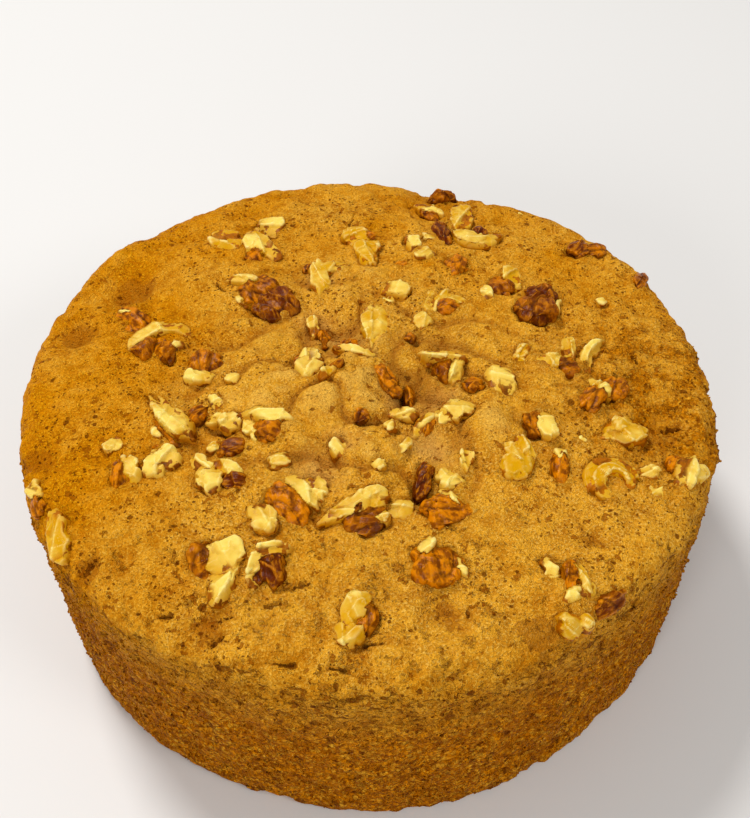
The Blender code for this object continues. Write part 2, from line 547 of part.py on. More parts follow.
def make_limb(name, limb, collection, surface, grow=0.0, sides=LIMB_SIDES):
    """One closed faceted limb, lying on the crust at its place, or upright where it is tall."""
    kind, x, y, length, width, height, turn, bend, rise = limb
    draw = random.Random(f"{kind} {x:.4f} {y:.4f}")
    rings = limb_points(kind, length, width, height, bend, draw, grow, sides)
    upward = Vector((0.0, 0.0, 1.0)) if height > length else crust_normal(x, y)
    tilt = Vector((0.0, 0.0, 1.0)).rotation_difference(upward).to_matrix()
    place = Matrix.Translation((x, y, crust_height(x, y) + rise * height))
    lay = place @ tilt.to_4x4() @ Matrix.Rotation(math.radians(turn), 4, "Z")
    mesh = bmesh.new()
    rings = [[mesh.verts.new(lay @ point) for point in ring] for ring in rings]
    for ring, following in zip(rings, rings[1:]):
        for side in range(len(ring)):
            beside = (side + 1) % len(ring)
            mesh.faces.new((ring[side], ring[beside], following[beside], following[side]))
    mesh.faces.new(rings[0])
    mesh.faces.new(reversed(rings[-1]))
    return finish_mesh(mesh, name, collection, surface)


def make_pit(name, pit, collection, surface):
    """A blunt cutter for one torn pit, centred on the crust."""
    x, y, length, width, depth, turn = pit
    limb = ("flesh", x, y, length, width, 2 * depth, turn, 0, 0.0)
    return make_limb(name, limb, collection, surface, sides=SHORT_SIDES)


def make_pocket(name, limbs, collection, surface):
    """A cutter for one walnut piece: a six-sided well that clears all its limbs."""
    points = []
    for limb in limbs:
        grown = make_limb(f"{name}_grown", limb, collection, surface, POCKET_GAP)
        points.extend(vertex.co.copy() for vertex in grown.data.vertices)
        bpy.data.objects.remove(grown, do_unlink=True)
    floor = min(point.z for point in points)
    roof = max(point.z for point in points) + POCKET_ROOF
    flare = math.tan(math.radians(POCKET_FLARE))
    turn = math.radians(limbs[0][6])
    walls = []
    for facing in POCKET_WALLS:
        across = Vector((math.cos(turn + math.radians(facing)), math.sin(turn + math.radians(facing))))
        reach = max(point.xy.dot(across) - (point.z - floor) * flare for point in points)
        walls.append((across, reach))

    mesh = bmesh.new()
    rings = []
    for height in (floor, roof):
        ring = []
        for (across, reach), (next_across, next_reach) in zip(walls, walls[1:] + walls[:1]):
            out, next_out = reach + (height - floor) * flare, next_reach + (height - floor) * flare
            cross = across.cross(next_across)
            x = (out * next_across.y - next_out * across.y) / cross
            y = (next_out * across.x - out * next_across.x) / cross
            ring.append(mesh.verts.new((x, y, height)))
        rings.append(ring)
    low, high = rings
    for number, vertex in enumerate(low):
        beside = (number + 1) % len(low)
        mesh.faces.new((vertex, low[beside], high[beside], high[number]))
    mesh.faces.new(reversed(low))
    mesh.faces.new(high)
    return finish_mesh(mesh, name, collection, surface)


def new_collection(name):
    made = bpy.data.collections.new(name)
    bpy.context.scene.collection.children.link(made)
    return made


def largest_body(thing):
    """Drops the loose scraps that a Boolean may leave."""
    mesh = bmesh.new()
    mesh.from_mesh(thing.data)
    bodies = []
    left = set(mesh.verts)
    while left:
        body, edge = set(), [left.pop()]
        while edge:
            vertex = edge.pop()
            body.add(vertex)
            for link in vertex.link_edges:
                other = link.other_vert(vertex)
                if other in left:
                    left.remove(other)
                    edge.append(other)
        bodies.append(body)
    bodies.sort(key=len, reverse=True)
    for body in bodies[1:]:
        bmesh.ops.delete(mesh, geom=list(body), context="VERTS")
    mesh.to_mesh(thing.data)
    mesh.free()


def combine(thing, collection, operation):
    """Applies one Boolean with a whole collection, then removes that collection."""
    step = thing.modifiers.new(operation.title(), "BOOLEAN")
    step.operation = operation
    step.operand_type = "COLLECTION"
    step.collection = collection
    step.solver = "EXACT"
    graph = bpy.context.evaluated_depsgraph_get()
    made = bpy.data.meshes.new_from_object(thing.evaluated_get(graph))
    thing.modifiers.clear()
    thing.data = made
    for part in list(collection.objects):
        bpy.data.objects.remove(part, do_unlink=True)
    bpy.data.collections.remove(collection)
    largest_body(thing)


def make_walnut(name, limbs, skin, flesh):
    """A walnut piece: its limbs joined into one body."""
    surfaces = {"skin": skin, "flesh": flesh}
    scene_collection = bpy.context.scene.collection
    body = make_limb(name, limbs[0], scene_collection, surfaces[limbs[0][0]])
    if len(limbs) > 1:
        others = new_collection(f"{name}_limbs")
        for number, limb in enumerate(limbs[1:], 1):
            make_limb(f"{name}_limb_{number}", limb, others, surfaces[limb[0]])
        combine(body, others, "UNION")
    return body


def build():
    clear_scene()
    crust = material("crust", (0.56, 0.24, 0.03), 0.85)
    flesh = material("walnut_flesh", (0.80, 0.62, 0.25), 0.55)
    skin = material("walnut_skin", (0.27, 0.08, 0.02), 0.5)
    cake = make_cake(bpy.context.scene.collection, crust)

    hollows = new_collection("hollows")
    for name, limbs in WALNUTS.items():
        make_pocket(f"{name}_pocket", limbs, hollows, crust)
    for number, pit in enumerate(PITS):
        make_pit(f"pit_{number}", pit, hollows, crust)
    combine(cake, hollows, "DIFFERENCE")

    bits = new_collection("bits")
    for number, bit in enumerate(SMALL_BITS):
        make_limb(f"bit_{number}", bit, bits, skin if bit[0] == "skin" else flesh, sides=SHORT_SIDES)
    combine(cake, bits, "UNION")
    cake.data.shade_smooth()
    cake.data.set_sharp_from_angle(angle=math.radians(SHARP_EDGE))

    for name, limbs in WALNUTS.items():
        make_walnut(name, limbs, skin, flesh)


build()
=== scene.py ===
"""The cinnamon walnut cake, dressed for its picture.

The crust is one fine mesh over the same dome, shoulder and side as the solid cake, with
swells, pores, torn slits and a crumbly rim. Every walnut piece is built again from the
same limbs as its solid, with broken cream flesh and brown veined skin.
Lengths are in metres and angles in degrees, but the tables of places and of walnut limbs
are in millimetres.
"""

import math
import random

import bmesh
import bpy
import numpy as np
from mathutils import Euler, Matrix, Vector, noise
from mathutils.bvhtree import BVHTree


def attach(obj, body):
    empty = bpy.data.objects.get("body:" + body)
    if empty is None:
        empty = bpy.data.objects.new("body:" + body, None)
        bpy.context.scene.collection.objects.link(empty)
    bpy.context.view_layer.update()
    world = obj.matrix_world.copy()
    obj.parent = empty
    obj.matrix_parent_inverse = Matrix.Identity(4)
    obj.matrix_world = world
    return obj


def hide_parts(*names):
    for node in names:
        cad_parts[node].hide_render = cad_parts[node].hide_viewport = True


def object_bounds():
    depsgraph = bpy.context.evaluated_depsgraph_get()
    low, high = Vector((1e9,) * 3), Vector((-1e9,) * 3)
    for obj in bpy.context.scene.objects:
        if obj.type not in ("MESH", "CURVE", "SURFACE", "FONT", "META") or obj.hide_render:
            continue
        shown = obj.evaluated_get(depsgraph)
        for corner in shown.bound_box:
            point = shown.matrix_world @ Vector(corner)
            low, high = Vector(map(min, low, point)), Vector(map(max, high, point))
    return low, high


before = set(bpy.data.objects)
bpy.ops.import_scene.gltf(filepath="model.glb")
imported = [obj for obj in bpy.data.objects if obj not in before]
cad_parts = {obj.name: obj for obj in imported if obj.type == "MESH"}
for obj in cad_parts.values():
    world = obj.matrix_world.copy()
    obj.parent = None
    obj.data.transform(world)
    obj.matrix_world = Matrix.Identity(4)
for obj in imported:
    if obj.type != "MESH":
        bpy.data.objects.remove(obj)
CAD_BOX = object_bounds()

MM = 0.001

# Driving dimensions of the cake
CAKE_RADIUS = 0.100
EDGE_HEIGHT = 0.0675
DOME_RISE = 0.005
SHOULDER_RADIUS = 0.009
FOOT_BEVEL = 0.0012

# The tin's round is a little out of true: waves round it, depth, and where each is widest
OUTLINE_WAVES = [(2, 0.0007, -50.0), (3, 0.0006, 14.0), (6, 0.0005, -22.0)]

# Fine unevenness: size of the lumps across and their height
TOP_LUMPS = (0.014, 0.0007)
SIDE_LUMPS = (0.009, 0.0006)
ROUGH_RIM_LUMPS = (0.006, 0.0012)
ROUGH_RIM_PLACE = (0.085, -0.012, 0.034)

# Swells of the top crust: x, y, radius, height. A hollow has a height under zero.
SWELLS = [
    (-6, -14, 12, 4.4),
    (1, -37, 10, 3.6),
    (32, -27, 14, 3.4),
    (-20, -33, 8, 3),
    (10, 8, 9, 3),
    (-3, 30, 12, 2.8),
    (-29, -10, 13, 2.6),
    (-72, -8, 20, 1.8),
    (-81, 55, 12, 3),
    (55, -14, 12, 1.8),
    (22, 45, 16, 1.8),
    (-55, 45, 20, 2),
    (85, 45, 14, 1.2),
    (-13, 15, 8, -3.6),
    (-6, 8, 7, -3),
    (10, -16, 7, -4),
    (20, -16, 8, -2.6),
    (17, -34, 9, -3),
    (-13, -41, 9, -3),
    (-6, -31, 5, -2.6),
    (-18, 0, 7, -2.8),
    (-13, 36, 8, -2),
    (10, -51, 9, -2.2),
    (-46, -28, 12, -2.6),
    (-55, -2, 10, -2.4),
    (-71, 36, 12, -3.2),
    (-86, 18, 7, -2.8),
    (-87, -29, 7, -1.6),
    (79, -27, 11, -3),
    (26, 89, 16, -4),
    (58, 14, 10, -1),
    (18, -82, 6, -1.4),
    (-38, -83, 6, -1.8),
]

# Torn pits and slits in the crust: x, y, length, width, depth, turn
PITS = [
    (-16.5, -74, 4.2, 2, 3, 20),
    (-23.2, -78.5, 4.8, 2.4, 3, -5),
    (-33.5, -80.8, 4, 1.8, 2.6, 5),
    (-47.5, -80.2, 3.6, 1.8, 2.6, 10),
    (0.5, -88.6, 6.2, 1.8, 2.8, 5),
    (-19, -93.5, 7.5, 1.8, 3, -8),
    (-7, -95, 5, 1.8, 3, -15),
    (-36, -87, 4.6, 2, 2.6, 40),
    (-44, 34, 5.6, 1.8, 3, -50),
    (-3, 70, 7, 1.4, 2.8, 70),
    (-68.5, -65.5, 4.6, 3.4, 2.8, 60),
    (78, 0.5, 4, 1.8, 2.6, -60),
    (83, -24.5, 6, 3, 3, 20),
]

# Places with pale soft batter, and sunken brown patches: x, y, radius
BATTER_PLACES = [
    (-13, 15, 6),
    (-6, 8, 6),
    (10, -16, 5),
    (20, -16, 6),
    (17, -34, 6),
    (-13, -41, 6),
    (-6, -31, 4),
    (-13, 36, 5),
]
BROWN_PLACES = [
    (-72, 38, 7),
    (-86, 18, 6),
    (-88, -30, 5),
    (-68, -66, 4),
    (-38, -83, 4),
    (18, -82, 4),
    (39, -87, 4),
    (55, -63, 4),
    (79, -27, 6),
]

# Rises of a walnut limb: how far its middle is above the crust, as a share of its height
LOW, MID, HIGH = -0.12, -0.02, 0.10


def metres(lengths):
    return [round(length * MM, 7) for length in lengths]


def flesh(*sizes, bend=0, rise=MID):
    """A broken, flat sided limb: x, y, length, width, height and turn. The bend curls it."""
    return ("flesh", *metres(sizes[:5]), sizes[5], bend, rise)


def skin(*sizes, bend=0, rise=MID):
    """A round, lobed limb, given in the same way."""
    return ("skin", *metres(sizes[:5]), sizes[5], bend, rise)


# The limbs of each walnut piece
WALNUTS = {
    1: [flesh(-30.3, 66, 10, 7.8, 6.4, 100)],
    2: [flesh(-31.5, 53.8, 17.5, 5.8, 6.8, -58), flesh(-35.2, 55.5, 9.5, 5, 5.6, -72),
        skin(-34, 48.7, 7, 4.6, 4.8, -60)],
    3: [flesh(-44, 58.5, 12.8, 8.8, 5.4, 98)],
    4: [flesh(-13.3, 36.2, 16, 4.6, 7.5, -84, rise=HIGH), flesh(-8.8, 40.7, 9, 4.8, 5, 16, rise=HIGH),
        skin(-16.3, 41.8, 4.6, 4.2, 4.8, 90)],
    5: [flesh(-1.2, 57.5, 10, 7.4, 6.2, -84), flesh(1.5, 47.5, 13.5, 5, 5.6, -78),
        flesh(3.2, 52, 6.6, 4.6, 5.4, 60), skin(2.4, 58.6, 7, 3.2, 5.2, -64)],
    6: [skin(29.2, 41, 9.8, 7, 5.8, 68, rise=LOW)],
    7: [flesh(23.8, 77.2, 11.5, 4.2, 5.6, -42, bend=-50, rise=HIGH),
        skin(23.2, 74.2, 7.6, 4, 4.6, -50)],
    8: [skin(29.8, 88.8, 10, 4.6, 10.8, 4)],
    9: [flesh(33.5, 69, 15.2, 6.6, 6.4, 82)],
    10: [skin(26.8, 60.5, 15, 5.6, 5.6, -78)],
    11: [flesh(38.2, 56, 16.8, 5, 6.4, 0, bend=110), skin(39.2, 58.8, 7, 4.8, 6.6, 80)],
    12: [skin(70.2, 52, 9.6, 6.6, 3.8, 52, rise=HIGH), skin(75.7, 52.4, 8.8, 5, 3.4, 12, rise=HIGH)],
    13: [skin(42.4, 31.2, 9.8, 5.8, 5.4, 112), flesh(46.4, 34.5, 10.8, 4.8, 5.6, 92)],
    14: [skin(51.5, 21, 13, 10.5, 8.6, 80), skin(54.5, 27, 11.2, 8.8, 7.8, 35),
        flesh(58.2, 24.5, 9, 3.4, 5.6, 78, rise=LOW)],
    15: [skin(87.2, 36.2, 10.4, 4, 4.6, 62)],
    16: [skin(-68.5, 21.5, 13.8, 8.2, 5.6, -42, rise=LOW), flesh(-71.5, 26.2, 5.8, 3.4, 5.6, -35)],
    17: [flesh(-60.8, 13.2, 20, 4.6, 6.6, 22, bend=-140), skin(-63.2, 6.8, 7.8, 6.2, 6.2, -50),
        skin(-57.5, 6.8, 7.8, 6.4, 6.2, 60), flesh(-53.5, 8.6, 3.6, 2.8, 5.6, 70)],
    18: [skin(-45.5, 0.5, 9.4, 8.2, 6.4, 92), flesh(-45.5, -5.5, 8.6, 3.6, 4.8, -8)],
    19: [skin(-31.8, 30.2, 13, 10.5, 8, -48), skin(-26.2, 24.5, 12, 11.2, 7.4, -70),
        flesh(-36.8, 34.8, 9, 3.2, 6.6, -18), flesh(-36.2, 27.2, 6.4, 3.6, 4.6, -30, rise=LOW)],
    20: [flesh(3.4, 11.8, 17.2, 5.8, 6.6, 82), skin(1.6, 9, 6.8, 3, 6.6, -72)],
    21: [flesh(-15.3, -5.2, 8, 7.2, 6.4, 60), flesh(-15.2, -0.2, 9.6, 5.4, 5.8, 95),
        skin(-19, 1.4, 5.2, 4, 4.4, 10, rise=LOW)],
    22: [flesh(21.5, 23.2, 12.5, 5.6, 4.6, 52, bend=-40, rise=LOW),
        flesh(26.8, 24.3, 7.2, 4.4, 4.4, -12, rise=LOW), skin(25.6, 20.8, 6.8, 5.2, 5.2, 12)],
    23: [flesh(22.2, -1.8, 11.6, 3, 7.4, -7, rise=HIGH), skin(22.4, -5.8, 9.2, 5, 6.4, -80),
        flesh(25.8, -6.2, 9.6, 3.4, 6, 70)],
    24: [skin(6.2, -10.2, 12.2, 5.6, 6.2, -65)],
    25: [flesh(25, -22.2, 8.4, 5.2, 5, 18), flesh(20.6, -24.2, 5.8, 3, 4.6, -66),
        skin(22.2, -20.2, 5.4, 3.2, 5, 32)],
    26: [skin(14.2, -45, 11.8, 4, 6.4, 73)],
    27: [flesh(21.2, -44.8, 7.6, 4.8, 5.2, 4), flesh(19.8, -43.6, 6, 2.8, 5, 96)],
    28: [skin(19.8, -54.6, 12.2, 7.8, 6.4, -6), flesh(21.4, -50.8, 8, 2.6, 5.8, -36)],
    29: [flesh(-5.5, -53.5, 11.6, 4.2, 7, 24), flesh(0.8, -51.2, 8.6, 6.2, 7, 10),
        skin(-0.8, -56, 11, 8, 6.4, 12), flesh(3.4, -55.6, 4.6, 3.4, 6.4, 80)],
    30: [skin(-19.6, -50.8, 14.2, 7.8, 6.6, -60), flesh(-16.5, -47.2, 13, 4.4, 6.8, -42),
        flesh(-12.8, -45.8, 8.2, 4.6, 6.8, -62)],
    31: [flesh(-26.4, -55, 8.8, 6, 5.2, -55)],
    32: [flesh(-26, -23.8, 12.6, 4, 7, -20, bend=-25, rise=HIGH),
        flesh(-30.2, -27.8, 9.2, 3.2, 5.8, -58), skin(-25.2, -29, 8.4, 6.8, 7, -28)],
    33: [skin(-35.8, -32, 8, 5.8, 6, -8), flesh(-39.8, -30.8, 4.6, 2.8, 5, 24)],
    34: [flesh(-39.4, -21.8, 6.4, 3, 4.4, -4), flesh(-36, -23, 6, 4.8, 5, -60)],
    35: [skin(-44.6, -18.6, 8.8, 4.4, 5.8, 38), flesh(-40.8, -16.2, 5.8, 2.6, 5.4, -55)],
    36: [flesh(-53, -20, 17, 5, 6.6, -55, rise=HIGH), skin(-53.7, -24, 11, 3.2, 5, -52),
        flesh(-56.2, -24.6, 5, 2.8, 4.6, -62, rise=LOW)],
    37: [flesh(-54.5, -36, 9.2, 5.2, 6.8, -80), flesh(-51.8, -35.4, 7.6, 5.6, 6.4, 15, rise=HIGH)],
    38: [flesh(-42.8, -36.6, 8.4, 3.4, 5.6, -42), flesh(-40.4, -41.8, 8.4, 6.2, 6.4, -52),
        flesh(-36, -39.4, 9.4, 3.4, 6, -28), skin(-34.2, -43.6, 6.8, 4.4, 6, -4)],
    39: [skin(-64, -40, 10.2, 3.8, 6.4, 96), flesh(-61, -38.6, 9.8, 4.2, 6, 108)],
    40: [flesh(-85.8, -41.2, 6.8, 3.6, 5, -52), skin(-84.2, -45.8, 6.6, 3.8, 5, -68)],
    41: [flesh(-77, -56, 15, 5.2, 5.6, -73)],
    42: [flesh(-35.2, -65.5, 9.2, 9, 7, -72), flesh(-34.5, -72.2, 11.2, 6, 6.4, 66),
        skin(-40.2, -66.4, 9.8, 6.2, 6, 96)],
    43: [skin(-23.8, -69.5, 9.6, 7.4, 6.8, 100), flesh(-27.2, -70, 10.8, 2.4, 6.6, 84),
        flesh(-22.8, -65.2, 8.4, 2.4, 6, 4, rise=HIGH)],
    44: [skin(16, -70.6, 12, 10.4, 7.4, -84), flesh(13.4, -65.8, 7.6, 2.6, 7, 62),
        flesh(21.2, -70.4, 6.6, 2.6, 5.4, -58)],
    45: [flesh(-3.5, -81.2, 9.4, 4.2, 6.2, 60), flesh(-5.3, -87, 6, 4.6, 5.6, -42),
        skin(-1, -83, 8, 4.4, 6, 78)],
    46: [skin(47.4, -73.6, 9, 4.2, 6, 80), flesh(50.8, -73.8, 9.2, 2.8, 6.2, -76),
        flesh(48.4, -78, 6.4, 2.8, 5.4, 16)],
    47: [flesh(45.8, -85, 5.8, 5, 5.6, 82), flesh(49.4, -83.8, 4.8, 3.2, 5, -12)],
    48: [skin(56, -79, 9.4, 4.6, 6.2, 38, rise=LOW)],
    49: [flesh(38, -11.8, 10.2, 6.6, 5, 95)],
    50: [flesh(53, -3.5, 8.4, 5, 5.8, 8), skin(57.2, -5.2, 7, 6.4, 6.6, 6),
        flesh(58.4, 1.2, 9.8, 3.6, 8, 82)],
    51: [flesh(65, 0.6, 15.2, 3.2, 6, 62, bend=-60)],
    52: [skin(69.5, -12.2, 8, 6.8, 6.4, 60), skin(62.5, -17.5, 12, 5.4, 5.6, 56),
        flesh(66, -15.2, 4.2, 3, 6.6, 80, rise=HIGH), flesh(63.2, -12.4, 5.2, 2.8, 5, 30)],
    53: [flesh(69, -28.5, 13.6, 5.8, 6.4, 6), flesh(69.4, -25.4, 6.4, 4.4, 6.6, 48, rise=HIGH)],
    54: [flesh(47.6, -27.8, 11.6, 4.6, 6.4, -82, bend=40), skin(44.5, -28, 8.4, 4.6, 5.8, 96)],
    55: [flesh(38.6, -40.2, 11.2, 7, 6.2, 74), flesh(40.8, -36.8, 7.2, 3.2, 6, -62, rise=HIGH)],
    56: [skin(50, -42, 10.4, 5, 6, 86), flesh(50.8, -37.4, 5, 2.8, 5.6, 104)],
    57: [flesh(62.2, -44, 24, 5.4, 6.2, -150, bend=260)],
    58: [flesh(82.6, -42.2, 9.6, 4.6, 6, 62, rise=HIGH), flesh(85.2, -42.4, 9.2, 3.6, 5.6, 40),
        skin(81.2, -38.4, 5.8, 4.4, 5.6, 80, rise=LOW)],
}

# Smaller bits of walnut, which the solid cake has too
SMALL_BITS = [
    skin(-11.5, 11.2, 7.6, 3.6, 5, 95, rise=HIGH),
    flesh(-14.7, 15.8, 8.2, 2.8, 5, 100, rise=HIGH),
    skin(-4.2, 6.2, 6, 5, 5.6, 70, rise=HIGH),
    flesh(-2.2, 0.9, 12.2, 2.2, 5, -21, rise=HIGH),
    flesh(-10.3, -9.8, 5.4, 2.4, 4.6, 48, rise=HIGH),
    skin(-7.8, -7, 6.6, 2.8, 4.6, 42, rise=HIGH),
    flesh(10.5, 28.3, 7.4, 6.6, 5, 60),
    flesh(17.4, 13.8, 7.4, 4.6, 4.6, 70, rise=LOW),
    flesh(16.5, 53.3, 8, 4, 4.6, 95),
    flesh(19.6, 45.4, 6, 4.8, 4.6, 100),
    flesh(21.8, 56.6, 4.2, 3.2, 4, 10),
    skin(12.6, 42, 4.4, 3.2, 3.4, 55, rise=LOW),
    flesh(38, 27.2, 7.4, 3.6, 4.4, 95),
    skin(30.3, -12, 6.2, 5.2, 5, -20, rise=LOW),
    skin(12.4, -14.2, 9, 2.8, 5.6, 84, rise=HIGH),
    flesh(9.4, -22.2, 8, 3.4, 5, -8, bend=20, rise=HIGH),
    flesh(15, -26.4, 9, 2.6, 5, 62, rise=HIGH),
    skin(17, -27.2, 6.8, 2.6, 5.4, 72, rise=HIGH),
    flesh(6.6, -28, 4.4, 2.8, 4, 90, rise=HIGH),
    flesh(9.8, -34.6, 6.4, 2.4, 4, 60, bend=70, rise=HIGH),
    flesh(-7.2, -33.6, 6.4, 3.6, 4.6, -80, rise=HIGH),
    flesh(-22.5, -38, 5.4, 4.2, 4, 5, rise=LOW),
    flesh(25.8, -39.6, 6.2, 3, 5, 82, rise=HIGH),
    flesh(8.4, -52.4, 5.6, 5.2, 4.6, 100),
    skin(-54, -29.3, 6, 1.8, 3.6, -5, rise=LOW),
    flesh(-66.7, -28.5, 5, 4.4, 4, 80),
    flesh(43.2, -71.1, 5.6, 3.4, 4, -80, rise=LOW),
    flesh(72.8, -41.9, 6.2, 3.6, 4.4, 12),
    flesh(73.6, -47.8, 5.4, 3.6, 4, 15, rise=LOW),
    flesh(45.6, 1.2, 6, 3, 4, 62),
]

# Bits too small for the solids
CRUMBS_OF_NUT = [
    flesh(54, 73, 3.4, 2.6, 3, 20, rise=LOW),
    flesh(-36.5, -8, 4, 3, 3, 70, rise=LOW),
    flesh(73, 25.5, 4, 3, 3, 35, rise=LOW),
    flesh(56.5, -31, 3.6, 3, 3, 10, rise=LOW),
    flesh(3, -41, 4.2, 3, 3, 0, rise=LOW),
    skin(-1, -24.5, 4.4, 3.4, 3.6, 40, rise=LOW),
    flesh(44, -1, 5, 3.4, 3.4, 65, rise=LOW),
    flesh(45.6, 3.4, 4, 2.6, 3, 30, rise=LOW),
    flesh(7.6, 23, 4, 2.4, 3, 40, rise=LOW),
    skin(13.5, 5.5, 3.4, 2.6, 3, 10, rise=LOW),
]

# How yellow the flesh (0 cream, 1 yellow) and how amber the skin (0 dark, 1 amber) of each piece is
USUAL_TONE = (0.3, 0.5)
TONES = {
    1: (0.25, 0.5), 2: (0.40, 0.5), 3: (0.85, 0.5), 4: (0.35, 0.3), 5: (0.75, 0.5), 6: (0.30, 0.9),
    7: (0.20, 0.4), 8: (0.50, 0.35), 9: (0.80, 0.5), 10: (0.50, 0.3), 11: (0.25, 0.15),
    12: (0.50, 0.4), 13: (0.50, 0.4), 14: (0.20, 0.20), 15: (0.50, 0.4), 16: (0.10, 0.8),
    17: (0.35, 0.5), 19: (0.50, 0.3), 20: (0.50, 0.4), 21: (0.10, 0.6), 22: (0.50, 0.6),
    23: (0.20, 0.5), 24: (0.50, 0.9), 25: (0.10, 0.4), 26: (0.50, 0.1), 28: (0.20, 0.75),
    29: (0.35, 0.25), 30: (0.20, 1.0), 31: (0.15, 0.5), 32: (0.20, 0.4), 33: (0.30, 0.35),
    34: (0.15, 0.5), 37: (0.0, 0.5), 38: (0.30, 0.3), 39: (0.50, 0.9), 40: (0.20, 0.4),
    41: (0.95, 0.5), 42: (0.30, 0.6), 43: (0.20, 0.05), 44: (0.15, 0.75), 45: (0.70, 0.9),
    46: (0.40, 1.0), 47: (0.60, 0.5), 48: (0.50, 0.3), 49: (0.20, 0.5), 50: (0.40, 0.4),
    51: (0.15, 0.5), 52: (0.20, 0.5), 53: (0.70, 0.3), 54: (0.15, 0.5), 55: (0.65, 0.5),
    56: (0.30, 0.85), 57: (0.80, 0.5), 58: (0.20, 0.9),
}
YELLOW_BITS = (29, 36, 37)
YELLOW_TONE = (1.2, 0.5)

# Fine mesh of the crust: steps along the top, the shoulder and the side, and points added by a ring
FINE_RINGS = 116
FINE_SHOULDER = 18
FINE_SIDE = 62
RING_GROWTH = 6

# Where the side begins, as its turn from upright in half circles, and size and height of its
# ragged border. The front of the top begins along a slanting line.
SIDE_BEGINS = (0.24, 0.48)
SIDE_RAGGED = (6 * MM, 0.08)
FRONT_BEGINS = (0.050, 0.085)
FRONT_SLANT = 0.25
ROUGH_SHARE = 0.8

# Relief of the crust: lump size, height, how much more on the side and the rough rim, layer
RELIEF = [
    (6.5 * MM, 0.60 * MM, -0.7, 0.4, 6),
    (2.6 * MM, 0.28 * MM, 0.2, 1.2, 7),
    (1.5 * MM, 0.12 * MM, 1.8, 3.0, 8),
]

# Middle of the cake: place, reach, its rise, and size and depth of valleys, folds and lumps
MIDDLE_Y, MIDDLE_REACH = -0.010, 0.050
MIDDLE_RISE = 0.6 * MM
VALLEYS = (17 * MM, 2.7 * MM)
FOLDS = (8 * MM, 1.0 * MM)
MIDDLE_LUMPS = (9 * MM, 0.7 * MM)

# Front of the top: size and depth of its tears and of its lumps
TEARS = (5.5 * MM, 0.8 * MM)
FRONT_LUMPS = (2.2 * MM, 0.22 * MM)
# Share of the front's tears in the painted valley shade
TEAR_SHADE = 0.36

# Crumbs of the rough rim, and pores: size of their cells, depth, smallest and added radius
RIM_CRUMBS = (2.4 * MM, 1.2 * MM)
PORE_CELL, PORE_DEPTH = 5.0 * MM, 0.7 * MM
PORE_SMALLEST, PORE_SPREAD = 0.06, 0.13
PORE_EDGE = (0.5, 1.2)
PORE_RARITY, PORE_ON_COARSE, PORE_ON_FRONT = 0.72, 0.25, 0.22

# A swell that counts as much for the painted shade and highlight as a millimetre of fine relief
SWELL_LIFT = 4.0 * MM

# Pits: their ragged edge as height, size and layer, their half sizes, edge and depth share
PIT_RAGGED = [(0.80, 1.8 * MM, 4), (0.50, 0.9 * MM, 21)]
PIT_REACH = (0.50, 0.32)
PIT_EDGE = (0.55, 1.25)
PIT_DEPTH_SHARE = 0.6
PIT_TURN = 1.2

# Sunken brown patches
BROWN_DEPTH = 0.6 * MM
BROWN_EDGE = (0.30, 0.60)

# Ragged edges of batter and brown patches: size, height, layers along x and y
PATCH_RAGGED = [(5.0 * MM, 3.0 * MM, 22, 24), (2.0 * MM, 1.5 * MM, 23, 25)]

# The side is drawn in, so that it stays within the solid's, and past the shoulder's turn in
# radians nothing stands out more than this. Past the foot's, in half circles, all is flat.
SIDE_INWARD = 0.75 * MM
MOST_OUTWARD = 0.25 * MM
SHOULDER_TURN, FOOT_TURN = 0.3, 0.6

# Where the crust meets walnut, in millimetres from it: sinking, creeping up and painted contact shade
NUT_SEARCH, NUT_TURN, NO_NUT = 3 * MM, 1.0, 1.0
CREEP_SIZE = 7 * MM
SINK_BEGINS = (-0.05, 0.30)
SINK_DEPTH, SINK_REACH = 0.70 * MM, 0.8
CREEP_HEIGHT, CREEP_REACH = 0.90 * MM, 1.6
CONTACT_REACH, CONTACT_LEAST = 0.65, 0.35

# Grains on the side and the rough rim
GRAIN_SEED = 11
GRAIN_COUNT = 8600
GRAIN_SIZES = (0.20 * MM, 0.62 * MM)
GRAIN_STRETCH = (0.6, 1.25)
GRAIN_UNEVEN = (0.85, 1.12)
GRAIN_LIFT = 0.1
GRAIN_LOWEST = 2.0 * MM

# Limb shapes, as in the solids
END_WIDTH = 0.6
BROAD, TALL = 0.57, 0.54
FLESH_SPREAD, SKIN_SPREAD = 1.15, 1.07
SLOPE_STEP = 0.003
VOXEL = 0.34 * MM

# How square a limb is in plan and upright
FLESH_SQUARE, SKIN_SQUARE = (3.8, 6.5), (3.0, 4.5)

# Outline of a limb in plan: height and size of its lumps, and how many, wide and deep its notches are
JAGGED = [(0.30, 0.80), (0.18, 0.33)]
NOISE_REACH = 50.0
FLESH_NOTCHES, SKIN_NOTCHES = (1, 2, 2), (0, 1, 1)
NOTCH_WIDTH, NOTCH_DEPTH = (0.30, 0.60), (0.20, 0.42)

# Broken faces of a limb, upright and on top: how many, how they lean, and the share that they leave
FLESH_FACES, SKIN_FACES = (9, 4), (8, 3)
UPRIGHT_LEAN, TOP_LEAN = (-0.1, 0.7), 0.55
CUT_SHARE = (0.76, 0.96)
CUT_FIRMNESS = 0.97

# Top of a limb: taper along it, tilt, hollow, step and ridge
TAPER, TILT = 0.22, 0.25
HOLLOW_MOST, HOLLOW_LEVEL, SKIN_CROWN = 0.25, 0.6, -0.1
STEP_PLACE, STEP_DEPTH, STEP_WIDTH = 0.35, (0.12, 0.38), 0.05
RIDGE_MOST, RIDGE_WIDTH = 0.25, 0.20
TALLEST = 0.96

# Border between skin and flesh in millimetres, and the distance to a kind that a piece lacks
BORDER_SIZE, BORDER_RAGGED, BORDER_SOFT = 1.5 * MM, 0.25, 0.12
NONE_NEAR = 2.0

